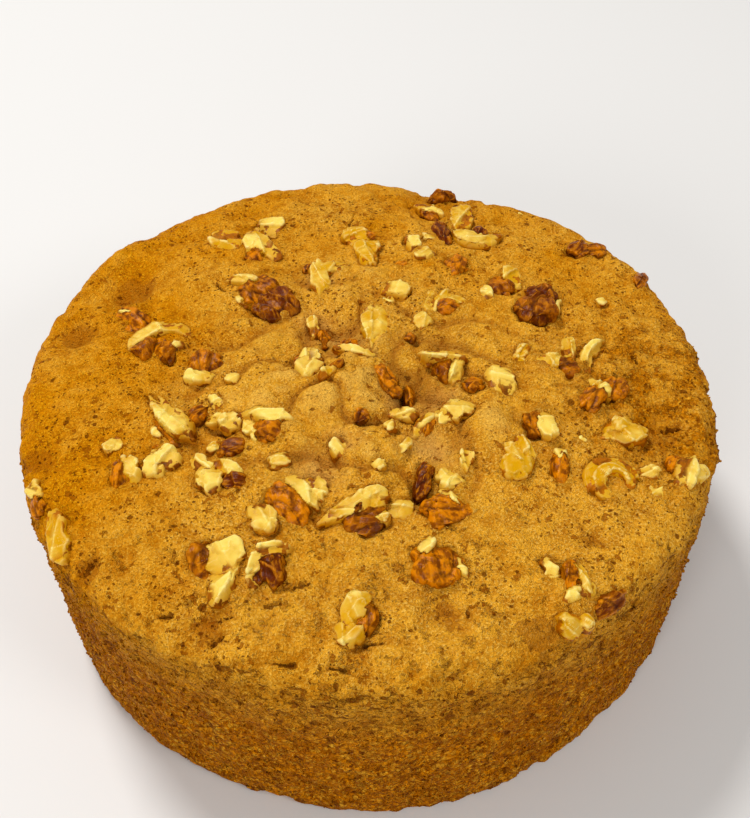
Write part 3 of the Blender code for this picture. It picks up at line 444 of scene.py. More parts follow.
# How much the tone of a limb varies, and how far apart limbs lie in the grain
TONE_VARIES, OWN_PLACE = 0.15, 0.5

# Relief of skin, drawn out along the limb, and of flesh. Facets and lumps have a size and a height.
ALONG_FOLDS = [0.42, 1.0, 0.6]
FOLD_APART = 5.0 * MM
FOLD_HEIGHTS = (0.10, 0.46)
FLESH_FACETS, FLESH_LUMPS = (4.0 * MM, 0.13), (1.7 * MM, 0.12 * MM)
SKIN_FACETS = (4.6 * MM, 0.15)

# How far noise layers lie apart, and what makes the share of a cell look random
LAYER_APART = (3.1, 5.7, 7.0)
CELL_SHUFFLE = 13.7
CREASE_SHARPNESS = 3.2

# How far the dressed cake stays inside the box of the solids
BOX_MARGIN = 0.05 * MM


def smooth(low, high, value):
    """Smooth step from 0 at low to 1 at high."""
    share = np.clip((value - low) / (high - low), 0.0, 1.0)
    return share * share * (3.0 - 2.0 * share)


def kept_inside(points):
    """The points, none of them outside the box of the solids."""
    low, high = np.array(CAD_BOX[0]), np.array(CAD_BOX[1])
    return np.clip(points, low + BOX_MARGIN, high - BOX_MARGIN)


def layer_shift(layer):
    return Vector([apart * layer for apart in LAYER_APART])


def noise_at(points, size, layer=0.0):
    """Smooth noise between about -1 and 1, with lumps of that size."""
    shift = layer_shift(layer)
    return np.array([noise.noise(Vector(point) + shift) for point in (points / size).tolist()])


def cells_at(points, size, layer=0.0):
    """Distance to the nearest cell centre in cell sizes, and a random share for each cell."""
    shift = layer_shift(layer)
    near, share = [], []
    for point in (points / size).tolist():
        distances, centres = noise.voronoi(Vector(point) + shift)
        near.append(distances[0])
        share.append(0.5 + 0.5 * noise.cell(centres[0] * CELL_SHUFFLE))
    return np.array(near), np.array(share)


def creases(points, size, layer):
    """1 along winding creases about that far apart, falling to 0 beside them."""
    return np.clip(1.0 - CREASE_SHARPNESS * np.abs(noise_at(points, size, layer)), 0.0, 1.0) ** 2


def flattened(x, y):
    return np.stack([x, y, np.zeros_like(x)], axis=-1)


def add_marks(mesh, marks):
    """Puts one number for each point on the mesh, under each name."""
    for name, values in marks.items():
        mark = mesh.attributes.new(name, "FLOAT", "POINT")
        mark.data.foreach_set("value", values.astype(np.float32))


def put_in_scene(name, content):
    """A new object of the scene with this mesh, camera or lamp."""
    made = bpy.data.objects.new(name, content)
    bpy.context.scene.collection.objects.link(made)
    return made


def to_mesh(name, points, faces):
    mesh = bpy.data.meshes.new(name)
    mesh.from_pydata(points.tolist(), [], faces)
    return mesh


# The cake's form


def outline_stretch(angle):
    return sum(depth * np.cos(waves * (angle - math.radians(widest)))
               for waves, depth, widest in OUTLINE_WAVES)


def plain_top(x, y):
    """Height of the dome and its shoulder, without swells."""
    radius = np.hypot(x, y)
    flat_radius = CAKE_RADIUS - SHOULDER_RADIUS
    dome = EDGE_HEIGHT + DOME_RISE * (1.0 - (radius / flat_radius) ** 2)
    out = np.clip(radius - flat_radius, 0.0, SHOULDER_RADIUS)
    shoulder = EDGE_HEIGHT - SHOULDER_RADIUS + np.sqrt(SHOULDER_RADIUS ** 2 - out ** 2)
    return np.where(radius <= flat_radius, dome, shoulder)


def rough_rim(x, y):
    """1 in the crumbly zone of the right rim, falling to 0 round it."""
    rough_x, rough_y, rough_radius = ROUGH_RIM_PLACE
    return np.exp(-(np.hypot(x - rough_x, y - rough_y) / rough_radius) ** 4)


def swell(x, y):
    """Height that the swells, hollows and lumps add to the crust."""
    total = np.zeros_like(x)
    for centre_x, centre_y, radius, height in map(metres, SWELLS):
        away = np.hypot(x - centre_x, y - centre_y) / radius
        total += height * np.exp(-away * away)
    flat = flattened(x, y)
    rough_size, rough_height = ROUGH_RIM_LUMPS
    top_size, top_height = TOP_LUMPS
    total += rough_rim(x, y) * rough_height * noise_at(flat, rough_size, 2)
    return total + top_height * noise_at(flat, top_size, 1)


def crust_height(x, y):
    x, y = np.array([x]), np.array([y])
    return float(plain_top(x, y)[0] + swell(x, y)[0])


def crust_normal(x, y):
    """Upward direction of the dome and shoulder at a place."""
    slope_x = (plain_top(x + SLOPE_STEP, y) - plain_top(x - SLOPE_STEP, y)) / (2 * SLOPE_STEP)
    slope_y = (plain_top(x, y + SLOPE_STEP) - plain_top(x, y - SLOPE_STEP)) / (2 * SLOPE_STEP)
    return Vector((-float(slope_x), -float(slope_y), 1.0)).normalized()


def crust_rings():
    """Each ring of the plain crust: how many points, radius, height, and turn from upright."""
    flat_radius = CAKE_RADIUS - SHOULDER_RADIUS
    shoulder_height = EDGE_HEIGHT - SHOULDER_RADIUS
    around = RING_GROWTH * FINE_RINGS
    rings = [(1, 0.0, 0.0, 0.0)]
    for ring in range(1, FINE_RINGS + 1):
        rings.append((RING_GROWTH * ring, flat_radius * ring / FINE_RINGS, 0.0, 0.0))
    for step in range(1, FINE_SHOULDER + 1):
        turn = 0.5 * math.pi * step / FINE_SHOULDER
        rings.append((around, flat_radius + SHOULDER_RADIUS * math.sin(turn),
                      shoulder_height + SHOULDER_RADIUS * math.cos(turn), turn))
    for step in range(1, FINE_SIDE + 1):
        height = shoulder_height + (FOOT_BEVEL - shoulder_height) * step / FINE_SIDE
        rings.append((around, CAKE_RADIUS, height, 0.5 * math.pi))
    rings.append((around, CAKE_RADIUS - FOOT_BEVEL, 0.0, 0.75 * math.pi))
    return zip(*rings)


def crust_grid():
    """Plain crust: points in each ring, the points, outward directions and turns from upright."""
    counts, radii, heights, turns = crust_rings()
    angle = np.concatenate([2 * math.pi * np.arange(count) / count for count in counts])
    radius, height, turn = (np.repeat(values, counts) for values in (radii, heights, turns))
    on_top = radius <= CAKE_RADIUS - SHOULDER_RADIUS
    plain = np.stack([radius * np.cos(angle), radius * np.sin(angle), height], axis=-1)
    side_size, side_height = SIDE_LUMPS
    lumps = np.where(on_top, 0.0, side_height * noise_at(plain, side_size, 3))
    stretch = 1.0 + (outline_stretch(angle) + lumps) / CAKE_RADIUS
    x, y = plain[:, 0] * stretch, plain[:, 1] * stretch
    raised = swell(x, y)
    upright = np.clip(np.cos(turn), 0.0, 1.0)
    z = np.where(on_top, plain_top(x, y) + raised, height + raised * upright)
    out = np.stack([np.sin(turn) * np.cos(angle), np.sin(turn) * np.sin(angle), np.cos(turn)], axis=-1)
    return counts, np.stack([x, y, z], axis=-1), out, turn


def ring_faces(counts):
    """Triangles between rings, where the outer one may have more points, and the flat foot."""
    faces = []
    start = 0
    for inner_count, outer_count in zip(counts, counts[1:]):
        outer_start = start + inner_count
        i = j = 0
        while i < inner_count or j < outer_count:
            here_in = start + i % inner_count
            here_out = outer_start + j % outer_count
            inner_first = (i + 1) * outer_count <= (j + 1) * inner_count and inner_count > 1
            if j == outer_count or (inner_first and i < inner_count):
                faces.append((here_in, here_out, start + (i + 1) % inner_count))
                i += 1
            else:
                faces.append((here_in, here_out, outer_start + (j + 1) % outer_count))
                j += 1
            if inner_count == 1 and j == outer_count:
                break
        start = outer_start
    last = counts[-1]
    faces.append(tuple(range(start + last - 1, start - 1, -1)))
    return faces


def pit_depth(x, y):
    """How deep each place lies in the pits, and its share: 1 at a floor, 0 outside."""
    flat = flattened(x, y)
    ragged = sum(height * noise_at(flat, size, layer) for height, size, layer in PIT_RAGGED)
    half_long, half_wide = PIT_REACH
    depth = np.zeros_like(x)
    share = np.zeros_like(x)
    for *lengths, turn in PITS:
        pit_x, pit_y, length, width, deep = metres(lengths)
        turn = math.radians(turn)
        dx, dy = x - pit_x, y - pit_y
        along = (dx * math.cos(turn) + dy * math.sin(turn)) / (half_long * length)
        across = (dy * math.cos(turn) - dx * math.sin(turn)) / (half_wide * width)
        inside = 1.0 - smooth(*PIT_EDGE, np.hypot(along, across) + ragged)
        share = np.maximum(share, inside)
        depth = np.maximum(depth, inside * deep)
    return depth, share


def patches(x, y, places):
    """1 in the middle of the listed places, falling to 0 round their ragged edges."""
    flat = flattened(x, y)
    for size, height, layer_x, layer_y in PATCH_RAGGED:
        x = x + height * noise_at(flat, size, layer_x)
        y = y + height * noise_at(flat, size, layer_y)
    total = np.zeros_like(x)
    for centre_x, centre_y, radius in map(metres, places):
        away = np.hypot(x - centre_x, y - centre_y) / radius
        total = np.maximum(total, np.exp(-away * away))
    return total


def distance_to_nuts(points, turn, nut_tree):
    """Millimetres to the nearest walnut, or the same small gap wherever none is near."""
    near = np.full(len(points), NO_NUT)
    for number, point in enumerate(points):
        if turn[number] < NUT_TURN:
            distance = nut_tree.find_nearest(Vector(point), NUT_SEARCH)[3]
            if distance is not None:
                near[number] = distance / MM
    return near


def make_crust(nut_tree):
    """The crust with the marks that its colours go by, and its grains."""
    counts, points, out, turn = crust_grid()
    x, y = points[:, 0], points[:, 1]
    rough = rough_rim(x, y)
    ragged = SIDE_RAGGED[1] * noise_at(points, SIDE_RAGGED[0], 5)
    side = smooth(*SIDE_BEGINS, turn / math.pi + ragged)
    coarse = np.maximum(side, ROUGH_SHARE * rough)
    front = smooth(*FRONT_BEGINS, -y - FRONT_SLANT * x) * (1.0 - side)

    # Lumps along the outward direction
    relief = sum(height * (1 + on_side * side + on_rough * rough) * noise_at(points, size, layer)
                 for size, height, on_side, on_rough, layer in RELIEF)
    middle = np.exp(-((np.hypot(x, y - MIDDLE_Y) / MIDDLE_REACH) ** 4))
    valley_and_shade = creases(points, VALLEYS[0], 16)
    relief += middle * (MIDDLE_RISE - VALLEYS[1] * valley_and_shade - FOLDS[1] * creases(points, FOLDS[0], 20))
    relief += middle * MIDDLE_LUMPS[1] * noise_at(points, MIDDLE_LUMPS[0], 26)
    torn = creases(points, TEARS[0], 27)
    relief -= front * TEARS[1] * torn
    relief += front * FRONT_LUMPS[1] * noise_at(points, FRONT_LUMPS[0], 28)
    crumbs, _ = cells_at(points, RIM_CRUMBS[0], 17)
    relief += rough * RIM_CRUMBS[1] * (0.5 - crumbs)

    # Pores, pits and sunken brown patches
    pore_near, pore_share = cells_at(points, PORE_CELL, 9)
    pore_size = PORE_SMALLEST + PORE_SPREAD * pore_share ** 2
    open_pore = pore_share > PORE_RARITY - PORE_ON_COARSE * coarse - PORE_ON_FRONT * front
    pore = open_pore * (1.0 - smooth(*PORE_EDGE, pore_near / pore_size))
    relief -= PORE_DEPTH * pore
    # Height that the painted shade and highlight of the top go by
    shading_height = relief / MM + swell(x, y) / SWELL_LIFT
    deep, pit = pit_depth(x, y)
    relief -= PIT_DEPTH_SHARE * deep * (turn < PIT_TURN)
    pit = pit * (turn < PIT_TURN)
    brown = patches(x, y, BROWN_PLACES)
    relief -= BROWN_DEPTH * smooth(*BROWN_EDGE, brown)
    relief -= SIDE_INWARD * side
    relief = np.where(turn > SHOULDER_TURN, np.minimum(relief, MOST_OUTWARD), relief)

    # The crust sinks or creeps up where it meets a walnut piece
    near = distance_to_nuts(points, turn, nut_tree)
    sink = smooth(*SINK_BEGINS, noise_at(points, CREEP_SIZE, 10))
    relief -= SINK_DEPTH * sink * np.exp(-(near / SINK_REACH) ** 2)
    relief += CREEP_HEIGHT * (1 - sink) * np.exp(-(near / CREEP_REACH) ** 2)
    # Painted contact shade beside the walnut pieces, strongest where the crust sinks
    contact_shade = (CONTACT_LEAST + (1 - CONTACT_LEAST) * sink) * np.exp(-(near / CONTACT_REACH) ** 2)

    points = kept_inside(points + out * relief[:, None])
    points[:, 2] = np.where(turn > FOOT_TURN * math.pi, 0.0, points[:, 2])
    mesh = to_mesh("cake_crust", points, ring_faces(counts))
    mesh.shade_smooth()
    add_marks(mesh, {
        "side": side, "rough": rough, "pit": np.maximum(pit, pore), "contact_shade": contact_shade,
        "valley_and_shade": middle * valley_and_shade + TEAR_SHADE * front * torn, "shading_height": shading_height,
        "batter": patches(x, y, BATTER_PLACES), "brown": brown,
    })
    return put_in_scene("cake_crust", mesh), make_grains(points, out, coarse ** 2)


def make_grains(points, out, coarse):
    """Small uneven grains, half sunk in the side and the rough rim."""
    draw = np.random.default_rng(GRAIN_SEED)
    seed = bmesh.new()
    bmesh.ops.create_icosphere(seed, subdivisions=1, radius=1.0)
    corners = np.array([vertex.co[:] for vertex in seed.verts])
    sides = np.array([[vertex.index for vertex in face.verts] for face in seed.faces])
    seed.free()
    coarse = coarse * (points[:, 2] > GRAIN_LOWEST)
    chosen = draw.choice(len(points), GRAIN_COUNT, replace=False, p=coarse / coarse.sum())
    smallest, largest = GRAIN_SIZES
    size = smallest + (largest - smallest) * draw.random(GRAIN_COUNT) ** 2
    grains = corners[None] * draw.uniform(*GRAIN_STRETCH, (GRAIN_COUNT, 1, 3))
    grains = grains * draw.uniform(*GRAIN_UNEVEN, (GRAIN_COUNT, len(corners), 1))
    for number in range(GRAIN_COUNT):
        spin = Euler(draw.uniform(0.0, 2.0 * math.pi, 3).tolist()).to_matrix()
        grains[number] = grains[number] @ np.array(spin)
    places = points[chosen] + out[chosen] * size[:, None] * GRAIN_LIFT
    grains = kept_inside(grains * size[:, None, None] + places[:, None])
    faces = sides[None] + len(corners) * np.arange(GRAIN_COUNT)[:, None, None]
    mesh = to_mesh("crust_grains", grains.reshape(-1, 3), faces.reshape(-1, 3).tolist())
    mesh.shade_smooth()
    add_marks(mesh, {"side": np.ones(len(mesh.vertices))})
    return put_in_scene("crust_grains", mesh)


# The walnut pieces


def ball():
    """Points and triangles of a fine round ball."""
    mesh = bmesh.new()
    bmesh.ops.create_icosphere(mesh, subdivisions=5, radius=1.0)
    points = np.array([vertex.co[:] for vertex in mesh.verts])
    faces = [tuple(vertex.index for vertex in face.verts) for face in mesh.faces]
    mesh.free()
    return points, faces


BALL_POINTS, BALL_FACES = ball()


def limb_frame(limb):
    """Where a limb lies: the same place, tilt and turn as its solid."""
    kind, x, y, length, width, height, turn, bend, rise = limb
    upward = Vector((0.0, 0.0, 1.0)) if height > length else crust_normal(x, y)
    tilt = Vector((0.0, 0.0, 1.0)).rotation_difference(upward).to_matrix()
    place = Matrix.Translation((x, y, crust_height(x, y) + rise * height))
    return place @ tilt.to_4x4() @ Matrix.Rotation(math.radians(turn), 4, "Z")


def block(flesh):
    """A rounded block as wide as the ball: flesh is squarer than skin."""
    plan, upright = FLESH_SQUARE if flesh else SKIN_SQUARE
    flat = (np.abs(BALL_POINTS[:, :2]) ** plan).sum(axis=1) ** (upright / plan)
    reach = (flat + np.abs(BALL_POINTS[:, 2]) ** upright) ** (-1.0 / upright)
    return BALL_POINTS * reach[:, None]


def jag_outline(points, draw, flesh):
    """Makes the outline in plan uneven, with notches."""
    around = np.arctan2(points[:, 1], points[:, 0])
    ring = flattened(np.cos(around), np.sin(around)) + draw.uniform(0.0, NOISE_REACH)
    jagged = sum(height * noise_at(ring, size) for height, size in JAGGED)
    for _ in range(draw.choice(FLESH_NOTCHES if flesh else SKIN_NOTCHES)):
        notch, wide = draw.uniform(-math.pi, math.pi), draw.uniform(*NOTCH_WIDTH)
        away = np.abs((around - notch + math.pi) % (2.0 * math.pi) - math.pi)
        jagged -= draw.uniform(*NOTCH_DEPTH) * np.clip(1.0 - away / wide, 0.0, 1.0)
    points[:, :2] *= (1.0 + jagged)[:, None]


def break_faces(points, draw, flesh):
    """Cuts flat broken faces: most stand up round the edge, the others tip the top."""
    upright, on_top = FLESH_FACES if flesh else SKIN_FACES
    facings = []
    for _ in range(upright):
        angle = draw.uniform(0.0, 2.0 * math.pi)
        facings.append((math.cos(angle), math.sin(angle), draw.uniform(*UPRIGHT_LEAN)))
    for _ in range(on_top):
        facings.append((draw.uniform(-TOP_LEAN, TOP_LEAN), draw.uniform(-TOP_LEAN, TOP_LEAN), 1.0))
    for facing in facings:
        facing = np.array(facing) / np.linalg.norm(facing)
        height_on = points @ facing
        cut = height_on.max() * draw.uniform(*CUT_SHARE)
        points -= np.maximum(height_on - cut, 0.0)[:, None] * facing * CUT_FIRMNESS


def shape_top(points, draw, flesh):
    """Tapers the limb, and gives its top a tilt, a hollow, a step and a ridge."""
    along = points[:, 0]
    full = END_WIDTH + (1.0 - END_WIDTH) * np.sqrt(np.clip(1.0 - along ** 2, 0.0, 1.0))
    full = full * (1.0 + draw.uniform(-TAPER, TAPER) * along)
    points[:, 1:] *= full[:, None]
    tilt_along, tilt_across = draw.uniform(-TILT, TILT), draw.uniform(-TILT, TILT)
    bowl = draw.uniform(0.0, HOLLOW_MOST) if flesh else SKIN_CROWN
    raised = 1.0 + tilt_along * points[:, 0] + tilt_across * points[:, 1]
    raised += bowl * (points[:, 0] ** 2 + points[:, 1] ** 2 - HOLLOW_LEVEL)
    line, place = draw.uniform(0.0, 2.0 * math.pi), draw.uniform(-STEP_PLACE, STEP_PLACE)
    over = points[:, 0] * math.cos(line) + points[:, 1] * math.sin(line) - place
    raised -= draw.uniform(*STEP_DEPTH) * smooth(-STEP_WIDTH, STEP_WIDTH, over)
    raised += draw.uniform(0.0, RIDGE_MOST) * np.clip(1.0 - np.abs(over) / RIDGE_WIDTH, 0.0, 1.0)
    raised *= TALLEST / max(1.0, (raised * points[:, 2]).max())
    points[:, 2] = np.where(points[:, 2] > 0, points[:, 2] * raised, points[:, 2])


def limb_shape(limb):
    """A broken block in its own frame: flesh is a flat chip, skin a thicker lobe."""
    kind, x, y, length, width, height, turn, bend, rise = limb
    draw = random.Random(f"{kind} {x:.4f} {y:.4f}")
    flesh = kind == "flesh"
    points = block(flesh)
    jag_outline(points, draw, flesh)
    break_faces(points, draw, flesh)
    shape_top(points, draw, flesh)

    spread = FLESH_SPREAD if flesh else SKIN_SPREAD
    forward = points[:, 0] * 0.5 * length * spread
    across = points[:, 1] * BROAD * width * spread
    up = points[:, 2] * TALL * height
    if bend:
        turn = math.radians(bend)
        curl = length / turn
        middle = curl * (1.0 - math.sin(0.5 * turn) / (0.5 * turn))
        forward, across = ((curl - across) * np.sin(forward / curl),
                           curl - (curl - across) * np.cos(forward / curl) - middle)
    return np.stack([forward, across, up], axis=-1)


def facets(points, size, layer):
    """Flat breaks: in each cell of that size the surface tips its own way."""
    shift = layer_shift(layer)
    tipped = []
    for point in (points / size).tolist():
        place = Vector(point) + shift
        centre = noise.voronoi(place)[1][0]
        facing = noise.cell_vector(centre * CELL_SHUFFLE) * 2.0 - Vector((1.0, 1.0, 1.0))
        tipped.append((place - centre).dot(facing))
    return np.array(tipped) * size


def placed(points, lay):
    turned = np.array(lay.to_3x3())
    return points @ turned.T + np.array(lay.translation)


def remeshed(name, shapes):
    """One skin round all the shapes together."""
    points = np.concatenate(shapes)
    faces = [tuple(corner + number * len(BALL_POINTS) for corner in face)
             for number in range(len(shapes)) for face in BALL_FACES]
    rough = put_in_scene(name, to_mesh(name, points, faces))
    step = rough.modifiers.new("Skin", "REMESH")
    step.mode = "VOXEL"
    step.voxel_size = VOXEL
    graph = bpy.context.evaluated_depsgraph_get()
    made = bpy.data.meshes.new_from_object(rough.evaluated_get(graph))
    old = rough.data
    rough.modifiers.clear()
    rough.data = made
    bpy.data.meshes.remove(old)
    made.name = name
    return rough


def as_array(source, label):
    values = np.empty(len(source) * 3, np.float32)
    source.foreach_get(label, values)
    return values.reshape(-1, 3).astype(float)


def skin_share(points, limbs, gaps):
    """1 where a limb of skin is nearest, 0 where one of flesh is, with a ragged border."""
    skins = np.array([limb[0] == "skin" for limb in limbs])
    far = np.full(len(points), NONE_NEAR)
    to_skin = gaps[skins].min(axis=0) if skins.any() else far
    to_flesh = gaps[~skins].min(axis=0) if not skins.all() else far
    ragged = BORDER_RAGGED * noise_at(points, BORDER_SIZE, 11)
    return smooth(-BORDER_SOFT, BORDER_SOFT, to_flesh - to_skin + ragged)


def make_nut(name, limbs, flesh_tone, skin_tone):
    """A walnut piece with its flesh and skin marked on the mesh."""
    lays = [limb_frame(limb) for limb in limbs]
    shapes = [placed(limb_shape(limb), lay) for limb, lay in zip(limbs, lays)]
    nut = remeshed(name, shapes)
    mesh = nut.data
    points, normals = as_array(mesh.vertices, "co"), as_array(mesh.vertex_normals, "vector")

    gaps = np.empty((len(limbs), len(points)))
    for row, shape in enumerate(shapes):
        tree = BVHTree.FromPolygons(shape.tolist(), BALL_FACES)
        gaps[row] = [tree.find_nearest(Vector(point))[3] / MM for point in points]
    nearest = gaps.argmin(axis=0)
    skin = skin_share(points, limbs, gaps)

    tones, local, low = np.empty(len(points)), np.empty((len(points), 3)), np.empty(len(points))
    for row, (limb, lay) in enumerate(zip(limbs, lays)):
        chosen = nearest == row
        draw = random.Random(f"tone {limb[1]:.4f} {limb[2]:.4f}")
        own = flesh_tone if limb[0] == "flesh" else skin_tone
        tones[chosen] = own + draw.uniform(-TONE_VARIES, TONE_VARIES)
        shift = np.array([draw.uniform(0.0, OWN_PLACE) for _ in range(3)])
        inside = placed(points[chosen], lay.inverted())
        low[chosen] = np.clip(0.5 - inside[:, 2] / limb[5], 0.0, 1.0)
        local[chosen] = inside + shift

    # Flesh breaks flat with a few steps; skin is drawn into long folds
    folds = creases(local * np.array(ALONG_FOLDS), FOLD_APART, 14)
    broken = FLESH_FACETS[1] * facets(points, FLESH_FACETS[0], 12)
    broken += FLESH_LUMPS[1] * noise_at(points, FLESH_LUMPS[0], 13)
    between, into = FOLD_HEIGHTS
    wrinkled = SKIN_FACETS[1] * facets(points, SKIN_FACETS[0], 15) + (between - into * folds) * MM
    bumps = (1 - skin) * broken + skin * wrinkled
    points = kept_inside(points + normals * bumps[:, None])
    mesh.vertices.foreach_set("co", points.astype(np.float32).ravel())
    mesh.shade_smooth()
    add_marks(mesh, {"skin": skin, "tone": tones, "furrow": folds, "low": low})
    mesh.attributes.new("grain", "FLOAT_VECTOR", "POINT").data.foreach_set(
        "vector", local.astype(np.float32).ravel())
    return nut


def joined(name, parts):
    """One object from several, keeping their marks."""
    with bpy.context.temp_override(active_object=parts[0], object=parts[0],
                                   selected_objects=parts, selected_editable_objects=parts):
        bpy.ops.object.join()
    parts[0].name = name
    parts[0].data.name = name
    return parts[0]


# Materials


def colour(red, green, blue):
    """A colour of the picture, from 0 to 255, as light."""
    shares = [value / 255.0 for value in (red, green, blue)]
    light = [s / 12.92 if s <= 0.04045 else ((s + 0.055) / 1.055) ** 2.4 for s in shares]
    return (*light, 1.0)


# Colours of the crust
TOP_GOLD = colour(222, 140, 0)
TOP_TAN = colour(240, 172, 44)
TOP_DEEP = colour(174, 96, 0)
# Painted highlight colours of the top
TOP_HIGHLIGHT_TAN = colour(255, 204, 96)
TOP_HIGHLIGHT_GOLD = colour(248, 182, 24)
# Batter tone darkened as painted shade in the valleys
BATTER_SHADE = colour(178, 118, 40)
# Dark flecks, also used as painted shade at the bottom of the valleys
FLECK_AND_CREVICE_SHADE = colour(156, 80, 0)
BATTER = colour(220, 164, 80)
WORN = colour(152, 76, 0)
SIDE_DARK = colour(146, 74, 0)
SIDE_GOLD = colour(236, 144, 0)
SIDE_LIGHT = colour(250, 190, 56)
SIDE_DEEP = colour(176, 94, 0)
ROUGH_GOLD = colour(216, 130, 0)
ROUGH_BROWN = colour(148, 78, 0)
# Painted shade in pinholes, pits, slits, holes between crumbs and beside walnut pieces
PAINTED_SHADE = colour(104, 44, 0)

# Colours of the walnut
FLESH_CREAM = colour(242, 210, 96)
FLESH_YELLOW = colour(212, 154, 0)
FLESH_WHITE = colour(253, 238, 160)
FLESH_DEEP = colour(190, 120, 0)
PEEL = colour(158, 84, 0)
SKIN_DARK = colour(98, 36, 0)
SKIN_AMBER = colour(212, 124, 0)
SKIN_LIGHT = colour(228, 142, 10)
# Dark veins, also used as painted shade in the folds and low on the skin
SKIN_VEIN_AND_SHADE = colour(56, 18, 0)

FLOOR_PALE = colour(226, 225, 224)

# Pinholes: size of their cells, smallest radius, spread and rarity, and where their edge begins
PINHOLES = [
    (1.15 * MM, 0.05, 0.36, 2.4),
    (2.7 * MM, 0.03, 0.27, 2.8),
    (5.6 * MM, 0.03, 0.19, 3.5),
]
HOLE_EDGE = 0.72

# How dull surfaces are, how much they shine, and how far light goes into walnut
DULL = 0.6
FLESH_DULL, SKIN_DULL = 0.34, 0.26
CRUST_SHINE, NUT_SHINE = 0.02, 0.07
NUT_GLOW = {"Subsurface_Weight": 0.15, "Subsurface_Scale": 1.2 * MM, "Subsurface_Radius": (1.0, 0.6, 0.2)}

# How the place is bent before cells and cracks are drawn on it
WARP_SIZE, WARP_REACH = 1.3 * MM, 0.9 * MM


class Graph:
    """Adds nodes to a material and joins them up."""

    def __init__(self, name):
        self.material = bpy.data.materials.new(name)
        self.material.use_nodes = True
        self.tree = self.material.node_tree
        self.shader = self.tree.nodes["Principled BSDF"]

    def put(self, socket, value):
        if isinstance(value, bpy.types.NodeSocket):
            self.tree.links.new(value, socket)
        else:
            socket.default_value = value

    def add(self, kind, inputs, **settings):
        node = self.tree.nodes.new(kind)
        for name, value in settings.items():
            setattr(node, name, value)
        for key, value in inputs.items():
            self.put(node.inputs[key], value)
        return node

    def place(self):
        return self.add("ShaderNodeTexCoord", {}).outputs["Object"]

    def mark(self, name, output="Fac"):
        return self.add("ShaderNodeAttribute", {}, attribute_name=name).outputs[output]

    def math(self, operation, first, second=0.0, third=0.0):
        return self.add("ShaderNodeMath", {0: first, 1: second, 2: third}, operation=operation).outputs[0]

    def times(self, first, second, plus=0.0):
        return self.math("MULTIPLY_ADD", first, second, plus)

    def centred(self, value):
        return self.math("SUBTRACT", value, 0.5)

    def most(self, *values):
        largest = values[0]
        for value in values[1:]:
            largest = self.math("MAXIMUM", largest, value)
        return largest

    def vector(self, operation, *vectors):
        return self.add("ShaderNodeVectorMath", dict(enumerate(vectors)), operation=operation).outputs

    def noise(self, where, size, detail=2.0, roughness=0.5, output="Fac"):
        inputs = {"Vector": where, "Scale": 1.0 / size, "Detail": detail, "Roughness": roughness}
        return self.add("ShaderNodeTexNoise", inputs).outputs[output]

    def cells(self, where, size):
        """Distance to the nearest centre, and a random share for each cell."""
        found = self.add("ShaderNodeTexVoronoi", {"Vector": where, "Scale": 1.0 / size}).outputs
        share = self.add("ShaderNodeSeparateColor", {"Color": found["Color"]}).outputs["Red"]
        return found["Distance"], share

    def fade(self, value, low, high, to_low=0.0, to_high=1.0):
        inputs = {"Value": value, "From Min": low, "From Max": high, "To Min": to_low, "To Max": to_high}
        return self.add("ShaderNodeMapRange", inputs, interpolation_type="SMOOTHSTEP").outputs["Result"]

    def mix(self, share, first, second):
        node = self.add("ShaderNodeMix", {}, data_type="RGBA")
        self.put(node.inputs["Factor"], share)
        colours = [socket for socket in node.inputs if socket.type == "RGBA"]
        self.put(colours[0], first)
        self.put(colours[1], second)
        return [socket for socket in node.outputs if socket.type == "RGBA"][0]

    def over(self, base, layers):
        """Lays colours over the base: mask, its low and high, share there, colour."""
        for mask, low, high, at_low, at_high, layer in layers:
            base = self.mix(self.fade(mask, low, high, at_low, at_high), base, layer)
        return base

    def raised(self, start, layers):
        """A height from the start and each layer times its share."""
        for layer, share in layers:
            start = self.times(layer, share, start)
        return start

    def finish(self, base, roughness, height=None, **constants):
        self.put(self.shader.inputs["Base Color"], base)
        self.put(self.shader.inputs["Roughness"], roughness)
        for name, value in constants.items():
            self.put(self.shader.inputs[name.replace("_", " ")], value)
        if height is not None:
            bump = self.add("ShaderNodeBump", {"Height": height, "Distance": MM, "Strength": 1.0})
            self.put(self.shader.inputs["Normal"], bump.outputs["Normal"])
        return self.material


def pores(graph, where, size, smallest, spread, rarity):
    """Round holes, one for each cell, most of them small: 1 in a hole and 0 outside."""
    distance, share = graph.cells(where, size)
    hole = graph.times(graph.math("POWER", share, rarity), spread, smallest)
    return graph.fade(distance, graph.times(hole, HOLE_EDGE), hole, 1.0, 0.0)


